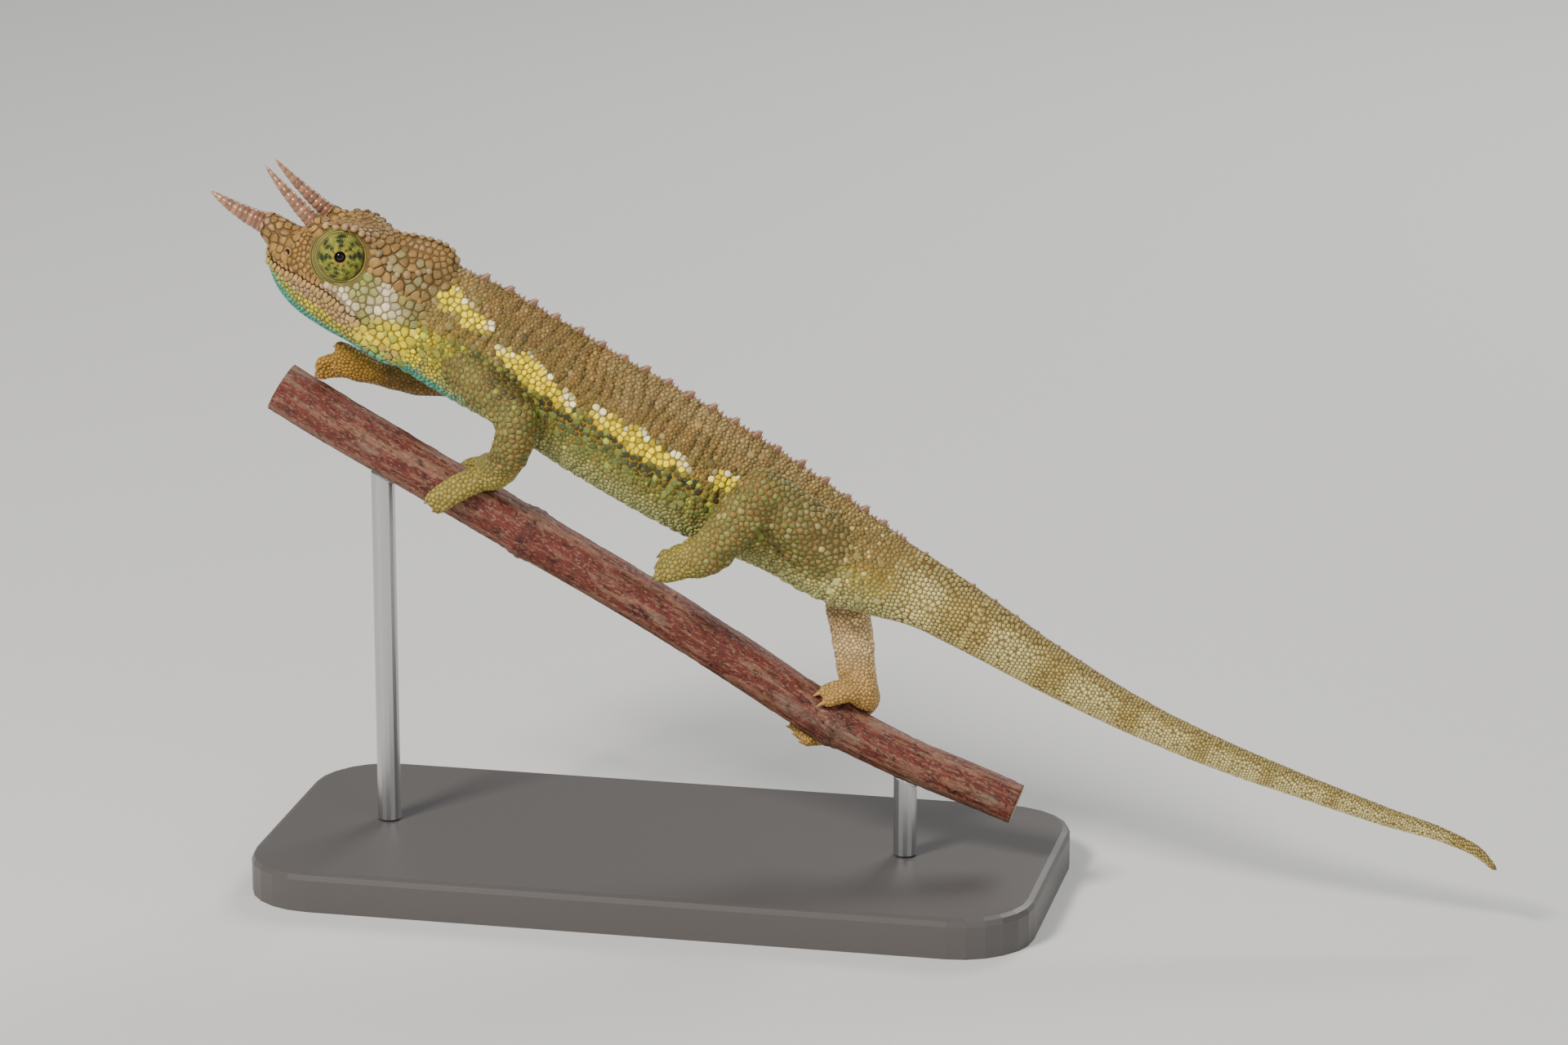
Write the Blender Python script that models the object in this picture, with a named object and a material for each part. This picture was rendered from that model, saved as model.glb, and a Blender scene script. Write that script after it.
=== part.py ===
"""A three-horned chameleon gripping a short cut branch, as a life-size museum model on a plain display stand.

The animal faces -X, with its left side to -Y. Lengths in this file are millimetres until a mesh is made in metres.
The work frame has its origin in the middle of the animal; the finished model is set down with z = 0 on the floor.
"""

import math

import bmesh
import bpy
import numpy as np
from mathutils import Matrix, Vector

MM = 0.001  # metres in a millimetre
GAP = 0.3  # between the faces of pieces that touch

# Body axis, from the nape to the tip of the tail: centre x and z, height and width of the section there.
BODY_AXIS = {
    "nape": (-58.1, 30.9, 19.2, 11.4),
    "shoulder": (-51.8, 27.9, 20.4, 12.0),
    "chest": (-42.3, 23.0, 20.2, 12.6),
    "midriff": (-29.1, 15.6, 20.7, 13.2),
    "belly": (-18.5, 10.0, 20.8, 13.2),
    "loin": (-8.9, 5.1, 20.0, 12.2),
    "hip": (0.9, 0.2, 17.7, 10.8),
    "pelvis": (9.1, -4.6, 16.6, 10.0),
    "vent": (15.7, -7.5, 14.2, 9.0),
    "root": (22.4, -10.2, 11.3, 8.0),
    "tail_a": (29.3, -13.8, 10.0, 7.6),
    "tail_b": (43.1, -21.6, 7.7, 6.4),
    "tail_c": (56.9, -28.5, 5.9, 5.2),
    "tail_d": (70.5, -34.0, 4.8, 4.3),
    "tail_e": (83.8, -38.4, 3.8, 3.5),
    "tail_f": (97.0, -42.5, 3.0, 2.8),
    "tail_g": (107.4, -45.4, 2.2, 2.1),
    "tail_h": (112.0, -47.5, 1.75, 1.7),
    "tail_tip": (114.7, -50.2, 1.1, 1.1),
}
# Outline of half a section, from belly to back: share of the height, then share of the half width.
TRUNK_SECTION = ((0, 0), (0.02, 0.36), (0.10, 0.74), (0.26, 0.96), (0.44, 1.0), (0.62, 0.88),
                 (0.78, 0.62), (0.90, 0.36), (0.975, 0.15), (1, 0))
TAIL_SECTION = ((0, 0), (0.03, 0.36), (0.12, 0.68), (0.27, 0.92), (0.45, 1.0), (0.62, 0.96),
                (0.78, 0.80), (0.90, 0.56), (0.975, 0.27), (1, 0))
NECK_END, CHEST_END, BELLY_END, PELVIS_END = 6.0, 27.0, 56.0, 86.0  # along the axis from the nape
TAIL_ENDS = (110.0, 134.0, 158.0, 180.0)

# Head, in its own frame: u runs back from the tip of the snout along the mouth, v up, w to the animal's right.
SNOUT = (-85.2, 0.0, 39.9)  # where the frame's origin is when the head looks straight ahead
HEAD_SLOPE, HEAD_YAW, HEAD_ROLL = math.radians(32.5), math.radians(4), math.radians(3)
HEAD_PIVOT = (24.0, 6.0)
HEAD_AT_NAPE = (27.7, 7.2)  # the nape's centre, as u and v
HEAD_FOLLOWS = 19.5  # from here back the head bends into the line of the neck
HEAD_COLUMNS = ("u", "bottom", "jaw_w", "jaw_v", "lip_w", "lip_v", "cheek_w", "cheek_v",
                "temple_w", "temple_v", "brow_w", "brow_v", "top")
HEAD_STATIONS = (
    (0.7, -0.7, 0.8, -0.5, 1.8, 0.00, 2.0, 1.2, 1.7, 2.6, 1.0, 3.7, 4.1),
    (2.0, -2.1, 1.6, -1.4, 2.8, 0.20, 3.0, 2.0, 2.7, 4.0, 1.8, 5.2, 5.7),
    (4.0, -3.7, 2.3, -2.5, 3.6, 0.55, 3.8, 3.0, 3.4, 5.6, 2.8, 7.3, 7.6),
    (6.5, -4.6, 3.0, -3.2, 4.3, 1.20, 4.5, 3.8, 3.9, 7.4, 4.3, 11.0, 10.6),
    (9.0, -4.9, 3.6, -3.5, 4.9, 1.85, 5.1, 4.2, 4.2, 8.4, 4.9, 13.2, 12.3),
    (12.0, -4.9, 4.2, -3.3, 5.6, 2.45, 5.8, 4.6, 4.6, 8.8, 5.0, 14.0, 13.7),
    (15.0, -4.7, 4.8, -2.9, 6.2, 2.70, 6.6, 5.0, 5.6, 9.0, 4.7, 13.5, 15.1),
    (18.0, -4.2, 5.2, -2.4, 6.6, 2.30, 7.0, 5.2, 5.8, 8.8, 5.0, 12.7, 16.4),
    (21.0, -3.6, 5.3, -2.0, 6.5, 1.90, 6.8, 5.2, 5.7, 9.0, 5.3, 12.2, 17.5),
    (23.6, -3.0, 5.1, -1.7, 6.1, 1.80, 6.3, 5.2, 5.3, 9.8, 4.2, 14.2, 18.0),
    (25.6, -2.8, 4.7, -1.5, 5.7, 1.90, 5.9, 5.3, 4.9, 10.4, 2.9, 15.2, 17.4),
    (27.3, -2.4, 4.3, -0.7, 5.4, 2.30, 5.6, 6.0, 4.7, 10.8, 2.2, 15.0, 16.8),
)
SNOUT_TIP = (-0.2, 0.0)
MOUTH_CORNER = 20.2  # how far back the mouth reaches
MOUTH_DEPTH, LIP_REACH, LIP_SWELL = 0.75, 0.34, 0.18
NOSTRIL = (4.1, 3.5, 3.9)  # u, v and w on the right side
NOSTRIL_RADIUS = 0.42
HEAD_RINGS = 28

# Eye turrets: fused lids over the eyeball, with a small round opening at the end of the axis.
EYE_CENTRE = (11.5, 8.6, 4.2)
EYE_GAZE_LEFT = (0.16, 0.29, -0.94)
EYE_GAZE_RIGHT = (-0.18, 0.12, 0.97)
TURRET_PROFILE = ((0.98, 2.5), (1.0, 3.45), (1.12, 3.72), (1.45, 3.66), (2.2, 3.22), (3.0, 2.62),
                  (3.7, 1.75), (4.15, 0.75), (4.25, -0.25), (3.9, -1.15), (3.0, -1.8))
EYEBALL_PROFILE = ((0.66, 2.75), (0.66, 3.3), (0.45, 3.5), (0.22, 3.58))

# Horns: base and tip in the head's frame, the sideways bulge of the path, base radius and number of rings.
ROSTRAL_HORN = {"base": (-3.1, 3.6, 0.0), "tip": (-12.9, 2.6, 0.0), "bulge": -0.8, "radius": 1.8, "rings": 10}
ORBITAL_HORN = {"base": (4.2, 10.3, 3.3), "tip": (-7.15, 12.75, 2.2), "bulge": -0.5, "radius": 1.45, "rings": 11}
ROSTRAL_PEDESTAL = {"root": (3.2, 3.4, 0.0), "root_radius": 3.1}
ORBITAL_PEDESTAL = {"root": (7.6, 9.4, 2.9), "root_radius": 2.3}

# Keel of the casque, which rises over the nape: u, v of its top edge and v of its foot.
CASQUE_KEEL = (
    (16.0, 15.2, 12.6), (19.4, 17.1, 12.6), (22.0, 18.2, 12.8), (24.0, 18.8, 13.0), (26.0, 18.5, 13.4),
    (27.4, 17.3, 13.8), (28.3, 15.5, 14.0), (28.8, 14.6, 14.1),
)
KEEL_TOP, KEEL_FOOT = 0.55, 2.3  # half widths

# Crest of spines down the back: a large one at each step with two small ones before it.
SPINE_STEP, SPINE_START, SPINE_END = 4.15, 2.2, 84.0
SPINE_HEIGHT, SPINE_BASE, SMALL_SPINE = 1.3, 1.15, 0.4
TAIL_SPINE_HEIGHT, TAIL_SPINE_END = 0.8, 132.0

# Branch: centreline x and z, and radius, from the cut end ahead of the animal to the one behind it.
PERCH_AXIS = (
    (-82.8, 17.9, 4.2), (-75.4, 13.7, 4.2), (-64.6, 7.9, 4.15), (-43.0, -3.7, 4.1), (-21.5, -15.2, 4.0),
    (-8.0, -23.1, 3.95), (5.4, -31.2, 3.8), (18.7, -37.5, 3.55), (32.1, -42.4, 3.4), (38.0, -44.6, 3.35),
)
PERCH_KNOTS = ((46.5, 0.35), (104.5, 0.45))  # place along the branch and swelling of each leaf scar
KNOT_REACH = 1.7

# Limbs: the joints as x, y, z, the radius at each, and how flat the limb is from side to side.
LIMBS = {
    "arm_left": {
        "upper": ((-53.6, -2.6, 25.2), (-46.6, -6.7, 21.0), (-41.2, -9.2, 17.5), (3.7, 3.6, 3.2), 0.85),
        "lower": ((-41.2, -9.2, 17.0), (-42.6, -7.8, 11.6), (-45.8, -5.0, 7.0), (3.2, 3.1, 2.75), 0.9),
    },
    "arm_right": {
        "upper": ((-53.5, 2.8, 24.8), (-54.6, 6.9, 21.0), (-57.4, 9.4, 17.9), (3.3, 3.1, 2.7), 0.85),
        "lower": ((-57.4, 9.4, 17.7), (-63.0, 9.3, 17.7), (-68.6, 8.2, 18.9), (2.6, 2.5, 2.1), 0.9),
    },
    "leg_left": {
        "upper": ((7.6, -1.7, -4.2), (3.2, -5.9, 1.8), (-1.4, -8.7, 7.4), (6.0, 5.2, 4.0), 0.72),
        "lower": ((-1.7, -9.3, 7.4), (-5.3, -9.9, 3.1), (-9.5, -9.6, -2.7), (3.9, 3.8, 3.4), 0.80),
    },
    "leg_right": {
        "upper": ((5.6, 2.0, -4.0), (7.6, 6.2, -8.4), (8.2, 8.2, -12.8), (5.2, 4.5, 3.6), 0.75),
        "lower": ((8.2, 8.0, -13.0), (10.0, 6.1, -20.4), (11.2, 3.9, -26.4), (3.6, 3.4, 3.1), 0.9),
    },
}

# Toes: how many are in the inner and the outer bundle of each foot, and their sizes.
TOE_COUNTS = {"arm": {"inner": 3, "outer": 2}, "leg": {"inner": 2, "outer": 3}}
TOE_RADIUS, TOE_SPREAD, CLAW_LENGTH, CLAW_RADIUS = 1.45, 1.1, 1.7, 0.42

# Display stand.
BASE_SIZE = (128.0, 58.0, 6.5)
BASE_CENTRE = (-20.0, 0.0)
BASE_ROUNDING, BASE_BEVEL = 12.0, 1.2
BASE_TOP = -54.5
ROD_RADIUS = 1.9
ROD_PLACES = {"stand_rod_front": 19.0, "stand_rod_rear": 117.0}  # along the branch from its front end
ROD_GRIP = 1.1  # how far a rod's cradle reaches up round the branch

SKIN_COLOURS = {
    "head": (0.42, 0.30, 0.13), "casque": (0.36, 0.24, 0.10), "trunk": (0.30, 0.23, 0.08),
    "tail": (0.55, 0.44, 0.17), "limb": (0.36, 0.33, 0.12), "pale_limb": (0.72, 0.58, 0.30),
}
HORN_COLOUR, EYE_COLOUR, PUPIL_COLOUR = (0.50, 0.27, 0.17), (0.30, 0.32, 0.06), (0.01, 0.01, 0.01)
BARK_COLOUR, BASE_COLOUR, ROD_COLOUR = (0.30, 0.09, 0.06), (0.10, 0.09, 0.085), (0.55, 0.55, 0.56)


def clear_scene():
    for obj in list(bpy.data.objects):
        bpy.data.objects.remove(obj)


def material(name, colour, roughness=0.6, metallic=0.0):
    made = bpy.data.materials.get(name)
    if made is None:
        made = bpy.data.materials.new(name)
        made.use_nodes = True
        shader = made.node_tree.nodes["Principled BSDF"]
        shader.inputs["Base Color"].default_value = (*colour, 1)
        shader.inputs["Roughness"].default_value = roughness
        shader.inputs["Metallic"].default_value = metallic
    return made


def spline(knots, values, places):
    """Values at the given places on a smooth curve through the knots."""
    knots, values = np.asarray(knots, float), np.asarray(values, float)
    slopes = np.gradient(values, knots, axis=0)
    places = np.clip(np.atleast_1d(np.asarray(places, float)), knots[0], knots[-1])
    span = np.clip(np.searchsorted(knots, places, "right") - 1, 0, len(knots) - 2)
    width = knots[span + 1] - knots[span]
    t = (places - knots[span]) / width
    shape = (-1,) + (1,) * (values.ndim - 1)
    t, width = t.reshape(shape), width.reshape(shape)
    return ((2 * t**3 - 3 * t**2 + 1) * values[span] + (t**3 - 2 * t**2 + t) * width * slopes[span]
            + (3 * t**2 - 2 * t**3) * values[span + 1] + (t**3 - t**2) * width * slopes[span + 1])


def chord_lengths(points):
    return np.concatenate([[0], np.cumsum(np.linalg.norm(np.diff(np.asarray(points, float), axis=0), axis=1))])


def unit(vector):
    vector = np.asarray(vector, float)
    return vector / max(np.linalg.norm(vector), 1e-9)


# Making and joining solids

def link(name, mesh_builder, finish):
    """An object named after its node, from a bmesh in millimetres."""
    mesh = bpy.data.meshes.new(name)
    bmesh.ops.recalc_face_normals(mesh_builder, faces=mesh_builder.faces)
    bmesh.ops.scale(mesh_builder, vec=(MM, MM, MM), verts=mesh_builder.verts)
    mesh_builder.to_mesh(mesh)
    mesh_builder.free()
    obj = bpy.data.objects.new(name, mesh)
    bpy.context.scene.collection.objects.link(obj)
    if finish:
        mesh.materials.append(finish)
    return obj


def loft(rings, start=None, end=None):
    """A closed bmesh through rings of points; each end is a flat face, or comes to the point given."""
    built = bmesh.new()
    loops = [[built.verts.new(point) for point in ring] for ring in rings]
    count = len(loops[0])
    for lower, upper in zip(loops, loops[1:]):
        for i in range(count):
            j = (i + 1) % count
            built.faces.new((lower[i], lower[j], upper[j], upper[i]))
    for loop, tip in ((loops[0], start), (loops[-1], end)):
        centre = built.verts.new(np.mean([v.co for v in loop], axis=0) if tip is None else tip)
        for i in range(count):
            built.faces.new((loop[i], loop[(i + 1) % count], centre))
    return built


def circle(centre, across, beside, count):
    angles = np.arange(count) * math.tau / count
    return np.asarray(centre) + np.outer(np.cos(angles), across) + np.outer(np.sin(angles), beside)


def tube(points, radii, count=10, flatten=1.0, grow=0.0, side=(0, 1, 0), steps=8, round_ends=True):
    """A limb or twig: a round or flattened bmesh along a smooth path, with domed or flat ends."""
    places = chord_lengths(points)
    at = np.linspace(0, places[-1], steps)
    path = spline(places, points, at)
    size = spline(places, radii, at) + grow
    tangents = np.gradient(path, axis=0)
    rings = []
    start, end = None, None
    for centre, radius, tangent in zip(path, size, tangents):
        tangent = unit(tangent)
        beside = np.asarray(side, float) - np.dot(side, tangent) * tangent
        beside = unit(beside)
        across = np.cross(tangent, beside)
        thin = radius * flatten + grow * (1 - flatten)
        rings.append((centre, tangent, across * radius, beside * thin))
    made = [circle(c, a, b, count) for c, t, a, b in rings]
    if round_ends:
        for which, sign in ((0, -1), (-1, 1)):
            centre, tangent, across, beside = rings[which]
            radius = size[which]
            domes = [circle(centre + sign * tangent * radius * math.sin(lean), across * math.cos(lean),
                            beside * math.cos(lean), count) for lean in (0.55, 1.05)]
            if sign < 0:
                made = domes[::-1] + made
                start = centre - tangent * radius
            else:
                made = made + domes
                end = centre + tangent * radius
    return loft(made, start, end)


def hull(balls, grow=0.0):
    """A smooth lump stretched over balls, each a centre and a radius."""
    built = bmesh.new()
    for centre, radius in balls:
        for latitude in np.radians((-90, -58, -28, 0, 28, 58, 90)):
            count = 1 if abs(latitude) > 1.5 else 10
            for turn in np.arange(count) * math.tau / count:
                out = np.array([math.cos(turn), math.sin(turn), 0]) * math.cos(latitude)
                out[2] = math.sin(latitude)
                built.verts.new(np.asarray(centre) + out * (radius + grow))
    made = bmesh.ops.convex_hull(built, input=built.verts)
    inside = {v for v in made["geom_interior"] + made["geom_unused"] if isinstance(v, bmesh.types.BMVert)}
    bmesh.ops.delete(built, geom=list(inside), context="VERTS")
    return built


def cone(base, tip, radius, count=5, lean=None):
    """A spine, claw or tubercle: a pointed or blunt bmesh whose base is sunk in what it grows from."""
    base, tip = np.asarray(base, float), np.asarray(tip, float)
    axis = unit(tip - base)
    helper = (0, 1, 0) if abs(axis[1]) < 0.9 else (1, 0, 0)
    across = unit(np.cross(axis, helper)) * radius
    beside = np.cross(axis, unit(across)) * radius
    middle = base + 0.55 * (tip - base) + (np.zeros(3) if lean is None else np.asarray(lean, float))
    rings = [circle(base, across, beside, count), circle(middle, across * 0.55, beside * 0.55, count)]
    return loft(rings, None, tip)


def boolean(obj, other, operation):
    """Joins obj with, or cuts it by, another object or a list of objects, and removes those."""
    others = other if isinstance(other, list) else [other]
    pieces = bpy.data.collections.new("pieces")
    for each in others:
        pieces.objects.link(each)
    step = obj.modifiers.new(operation.title(), "BOOLEAN")
    step.operation = operation
    step.operand_type = "COLLECTION"
    step.collection = pieces
    for solver in ("MANIFOLD", "EXACT"):
        step.solver = solver
        bpy.context.view_layer.update()
        graph = bpy.context.evaluated_depsgraph_get()
        result = bpy.data.meshes.new_from_object(obj.evaluated_get(graph))
        if len(result.polygons) > 8:
            break
        print(obj.name, operation, solver, "gives nothing")
    obj.modifiers.clear()
    obj.data = result
    for each in others:
        bpy.data.objects.remove(each)
    bpy.data.collections.remove(pieces)
    keep_largest(obj)


def keep_largest(obj):
    """Drops loose scraps and sealed hollows, so that the node is one closed body."""
    built = bmesh.new()
    built.from_mesh(obj.data)
    bmesh.ops.remove_doubles(built, verts=built.verts, dist=2e-6)
    bmesh.ops.dissolve_degenerate(built, edges=built.edges, dist=2e-6)
    bmesh.ops.triangulate(built, faces=built.faces)
    left, groups = set(built.faces), []
    while left:
        queue, found = [left.pop()], []
        while queue:
            face = queue.pop()
            found.append(face)
            for edge in face.edges:
                for near in edge.link_faces:
                    if near in left:
                        left.discard(near)
                        queue.append(near)
        groups.append(found)
    groups.sort(key=lambda faces: abs(enclosed(faces)), reverse=True)
    for group in groups[1:]:
        bmesh.ops.delete(built, geom=group, context="FACES")
    loose = [v for v in built.verts if not v.link_faces]
    bmesh.ops.delete(built, geom=loose, context="VERTS")
    built.to_mesh(obj.data)
    built.free()


def enclosed(faces):
    total = 0.0
    for face in faces:
        a, b, c = (v.co for v in face.verts[:3])
        total += a.dot(b.cross(c)) / 6
    return total


def join(name, builders, finish):
    """One node from several bmeshes that overlap, by a Boolean union."""
    first = link(name, builders[0], finish)
    rest = [link(f"{name}_piece", each, None) for each in builders[1:]]
    if rest:
        boolean(first, rest, "UNION")
    return first


def cut(obj, cutters):
    for cutter in cutters:
        boolean(obj, link("cutter", cutter, None), "DIFFERENCE")


# Body axis

def axis_table():
    rows = np.array(list(BODY_AXIS.values()))
    return chord_lengths(rows[:, :2]), rows


def axis_place(name):
    return float(axis_table()[0][list(BODY_AXIS).index(name)])


def axis_frame(place):
    """Centre, backward direction and upward direction of the body at a place along its axis."""
    places, rows = axis_table()
    centre = spline(places, rows[:, :2], place)[0]
    ahead, behind = spline(places, rows[:, :2], [place - 0.5, place + 0.5])
    back = unit(behind - ahead)
    return np.array([centre[0], 0, centre[1]]), np.array([back[0], 0, back[1]]), np.array([-back[1], 0, back[0]])


def axis_ring(place, half_count, grow=0.0):
    places, rows = axis_table()
    height, width = spline(places, rows[:, 2:], place)[0]
    centre, _, up = axis_frame(place)
    tailness = np.clip((place - axis_place("loin")) / (axis_place("root") - axis_place("loin")), 0, 1)
    shape = (1 - tailness) * np.array(TRUNK_SECTION) + tailness * np.array(TAIL_SECTION)
    levels = chord_lengths(shape)
    half = spline(levels / levels[-1], shape, np.linspace(0, 1, half_count + 1))
    lift = (half[:, 0] - 0.5) * (height + 2 * grow)
    reach = np.maximum(half[:, 1], 0) * (width / 2 + grow)
    right = centre + np.outer(lift, up) + np.outer(reach, (0, 1, 0))
    left = centre + np.outer(lift, up) - np.outer(reach, (0, 1, 0))
    return np.concatenate([right, left[-2:0:-1]])


def body_length(start, end, half_count, spacing, grow=0.0):
    """The body between two places along its axis, with flat ends."""
    steps = max(3, round((end - start) / spacing) + 1)
    return [axis_ring(place, half_count, grow) for place in np.linspace(start, end, steps)]


def crest_spines(start, end):
    """Spines on the midline whose places fall between start and end: pairs of small ones, then a large one."""
    made = []
    places, rows = axis_table()
    step = SPINE_STEP / 3
    count = 0
    place = SPINE_START
    while place < TAIL_SPINE_END:
        on_tail = place > SPINE_END
        large = count % 3 == 2
        height = SPINE_HEIGHT * (1.0 if large else SMALL_SPINE)
        if on_tail:
            fade = 1 - 0.6 * (place - SPINE_END) / (TAIL_SPINE_END - SPINE_END)
            height = TAIL_SPINE_HEIGHT * fade * (1.0 if large else 0.5)
        height *= 1 + 0.14 * math.sin(2.4 * count)
        radius = SPINE_BASE * (0.95 if large else 0.66) * (0.75 if on_tail else 1)
        if start + radius < place < end - radius:
            centre, back, up = axis_frame(place)
            top = centre + up * spline(places, rows[:, 2] / 2, place)[0]
            made.append(spine(top, back, up, height, radius))
        place += step
        count += 1
    return made


def spine(top, back, up, height, radius):
    """A fin-like triangular spine, raked back, longer along the body than it is wide."""
    beside = np.array([0, 1, 0]) * radius * 0.72
    root = circle(top - up * 0.9, back * radius * 1.3, beside, 5)
    return loft([root], None, top + up * height + back * height * 0.4)


def build_body(finishes):
    ends = (0.0, NECK_END, CHEST_END, BELLY_END, PELVIS_END)
    for name, start, end in zip(("neck", "chest", "belly", "pelvis"), ends, ends[1:]):
        first = start + GAP / 2
        last = end - GAP / 2
        made = join(name, [loft(body_length(first, last, 9, 2.7))] + crest_spines(first, last), finishes["trunk"])
        if name == "neck":
            cut(made, [casque_keel(GAP)])
    tail_ends = (PELVIS_END,) + TAIL_ENDS
    for number, (start, end) in enumerate(zip(tail_ends, tail_ends[1:] + (None,)), 1):
        first = start + GAP / 2
        if end is None:
            total = axis_table()[0][-1]
            rings = body_length(first, total, 5, 1.6)
            centre, back, _ = axis_frame(total)
            join(f"tail_{number}", [loft(rings, None, centre + back * 0.55)], finishes["tail"])
        else:
            last = end - GAP / 2
            rings = body_length(first, last, 8 - number // 2, 2.6)
            join(f"tail_{number}", [loft(rings)] + crest_spines(first, last), finishes["tail"])


def body_cutter(start, end, grow=GAP):
    return loft(body_length(start, end, 9, 2.7, grow))


# Head

def head_axes(slope, yaw, roll):
    """The head's backward, upward and rightward directions."""
    back = np.array([math.cos(slope) * math.cos(yaw), -math.sin(yaw), -math.sin(slope) * math.cos(yaw)])
    up = unit(np.cross(back, (0, 1, 0)))
    right = unit(np.cross(up, back))
    return back, up * math.cos(roll) - right * math.sin(roll), right * math.cos(roll) + up * math.sin(roll)


def head_point(u, v, w, bends=True):
    """A point given in the head's frame, in the work frame. The back of the head bends into the neck."""
    back, up, _ = head_axes(HEAD_SLOPE, 0, 0)
    pivot = np.array(SNOUT) + back * HEAD_PIVOT[0] + up * HEAD_PIVOT[1]
    back, up, right = head_axes(HEAD_SLOPE, HEAD_YAW, HEAD_ROLL)
    ahead = pivot + back * (u - HEAD_PIVOT[0]) + up * (v - HEAD_PIVOT[1]) + right * w
    if not bends:
        return ahead
    centre, back, up = axis_frame(0.0)
    behind = centre + back * (u - HEAD_AT_NAPE[0]) + up * (v - HEAD_AT_NAPE[1]) + np.array([0, w, 0])
    follow = np.clip((u - HEAD_FOLLOWS) / (HEAD_AT_NAPE[0] - GAP - HEAD_FOLLOWS), 0, 1)
    follow = follow * follow * (3 - 2 * follow)
    return ahead * (1 - follow) + behind * follow


def head_direction(vector):
    here = EYE_CENTRE
    moved = [here[i] + vector[i] for i in range(3)]
    return unit(head_point(*moved) - head_point(*here))


def head_half(u):
    """Half a section of the head, from throat to crown, as rows of w and v."""
    table = np.array(HEAD_STATIONS)
    row = dict(zip(HEAD_COLUMNS, spline(table[:, 0], table, u)[0]))
    open_mouth = np.clip((MOUTH_CORNER - u) / 1.6, 0, 1)
    groove = MOUTH_DEPTH * open_mouth * min(1.0, row["lip_w"] / 2.4)
    swell = LIP_SWELL * open_mouth
    keys = np.array([
        (0, row["bottom"]), (row["jaw_w"], row["jaw_v"]),
        (row["lip_w"] + swell, row["lip_v"] - LIP_REACH), (row["cheek_w"], row["cheek_v"]),
        (row["temple_w"], row["temple_v"]), (row["brow_w"], row["brow_v"]), (0, row["top"]),
    ])
    lower = spline(range(3), keys[:3], np.linspace(0, 2, 6))
    groove_point = [(row["lip_w"] - groove, row["lip_v"])]
    upper_lip = np.array([(row["lip_w"] + swell, row["lip_v"] + LIP_REACH)])
    upper_keys = np.concatenate([upper_lip, keys[3:]])
    upper = spline(range(5), upper_keys, np.linspace(0, 4, 9))
    half = np.concatenate([lower, groove_point, upper])
    half[:, 0] = np.maximum(half[:, 0], 0)
    half[0, 0] = half[-1, 0] = 0
    return half


def head_ring(u, shrink=1.0):
    half = head_half(u)
    half = np.column_stack([half[:, 0] * shrink, SNOUT_TIP[1] + (half[:, 1] - SNOUT_TIP[1]) * shrink])
    right = [head_point(u, v, w) for w, v in half]
    left = [head_point(u, v, -w) for w, v in half]
    return np.array(right + left[-2:0:-1])


def turned_solid(profile, centre, axis, count, back=True):
    """A bmesh of revolution about an axis through centre; profile rows are radius and height."""
    axis = unit(axis)
    across = unit(np.cross(axis, (0.0, 0.0, 1.0)))
    beside = np.cross(axis, across)
    rings = [circle(np.asarray(centre) + axis * h, across * r, beside * r, count) for r, h in profile]
    return loft(rings)


def grown(profile, amount):
    """The profile of a turned solid, moved outwards by an amount."""
    points = np.array(profile, float)
    run = np.gradient(points, axis=0)
    out = np.column_stack([-run[:, 1], run[:, 0]])
    out /= np.linalg.norm(out, axis=1)[:, None]
    return points + out * amount


def horn(name, shape, mirror, finish):
    side = -1 if mirror else 1
    base = np.array(shape["base"]) * (1, 1, side)
    tip = np.array(shape["tip"]) * (1, 1, side)
    middle = (base + tip) / 2 + np.array((0, shape["bulge"], 0))
    count = shape["rings"]
    rings = []
    for i in range(2 * count + 1):
        t = i / (2 * count) * 0.94
        centre = head_point(*((1 - t) ** 2 * base + 2 * t * (1 - t) * middle + t * t * tip))
        ahead = head_point(*((1 - t - 0.02) ** 2 * base + 2 * (t + 0.02) * (0.98 - t) * middle + (t + 0.02) ** 2 * tip))
        axis = unit(ahead - centre)
        radius = shape["radius"] * (1 - t) ** 0.6 * (1.05 if i % 2 else 0.94)
        across = unit(np.cross(axis, (0, 1, 0)))
        rings.append(circle(centre, across * radius, np.cross(axis, across) * radius, 8))
    return link(name, loft(rings, None, head_point(*tip)), finish)


def pedestal(shape, horn_shape, side):
    """The scaly mound that a horn stands on, ending in a flat face just under the horn's base."""
    base = head_point(*(np.array(horn_shape["base"]) * (1, 1, side)))
    tip = head_point(*(np.array(horn_shape["tip"]) * (1, 1, side)))
    root = head_point(*(np.array(shape["root"]) * (1, 1, side)))
    middle = (np.array(horn_shape["base"]) + np.array(horn_shape["tip"])) / 2 + np.array((0, horn_shape["bulge"], 0))
    ahead = head_point(*(middle * (1, 1, side)))
    axis = unit(ahead - base)
    face = base - axis * GAP
    rings = []
    for t in np.linspace(0, 1, 4):
        centre = root + (face - root) * t
        facing = unit(unit(face - root) * (1 - t) + axis * t)
        radius = shape["root_radius"] * (1 - t) + horn_shape["radius"] * 1.08 * t
        across = unit(np.cross(facing, (0, 1, 0)))
        rings.append(circle(centre, across * radius, np.cross(facing, across) * radius, 12))
    return loft(rings)


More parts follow.
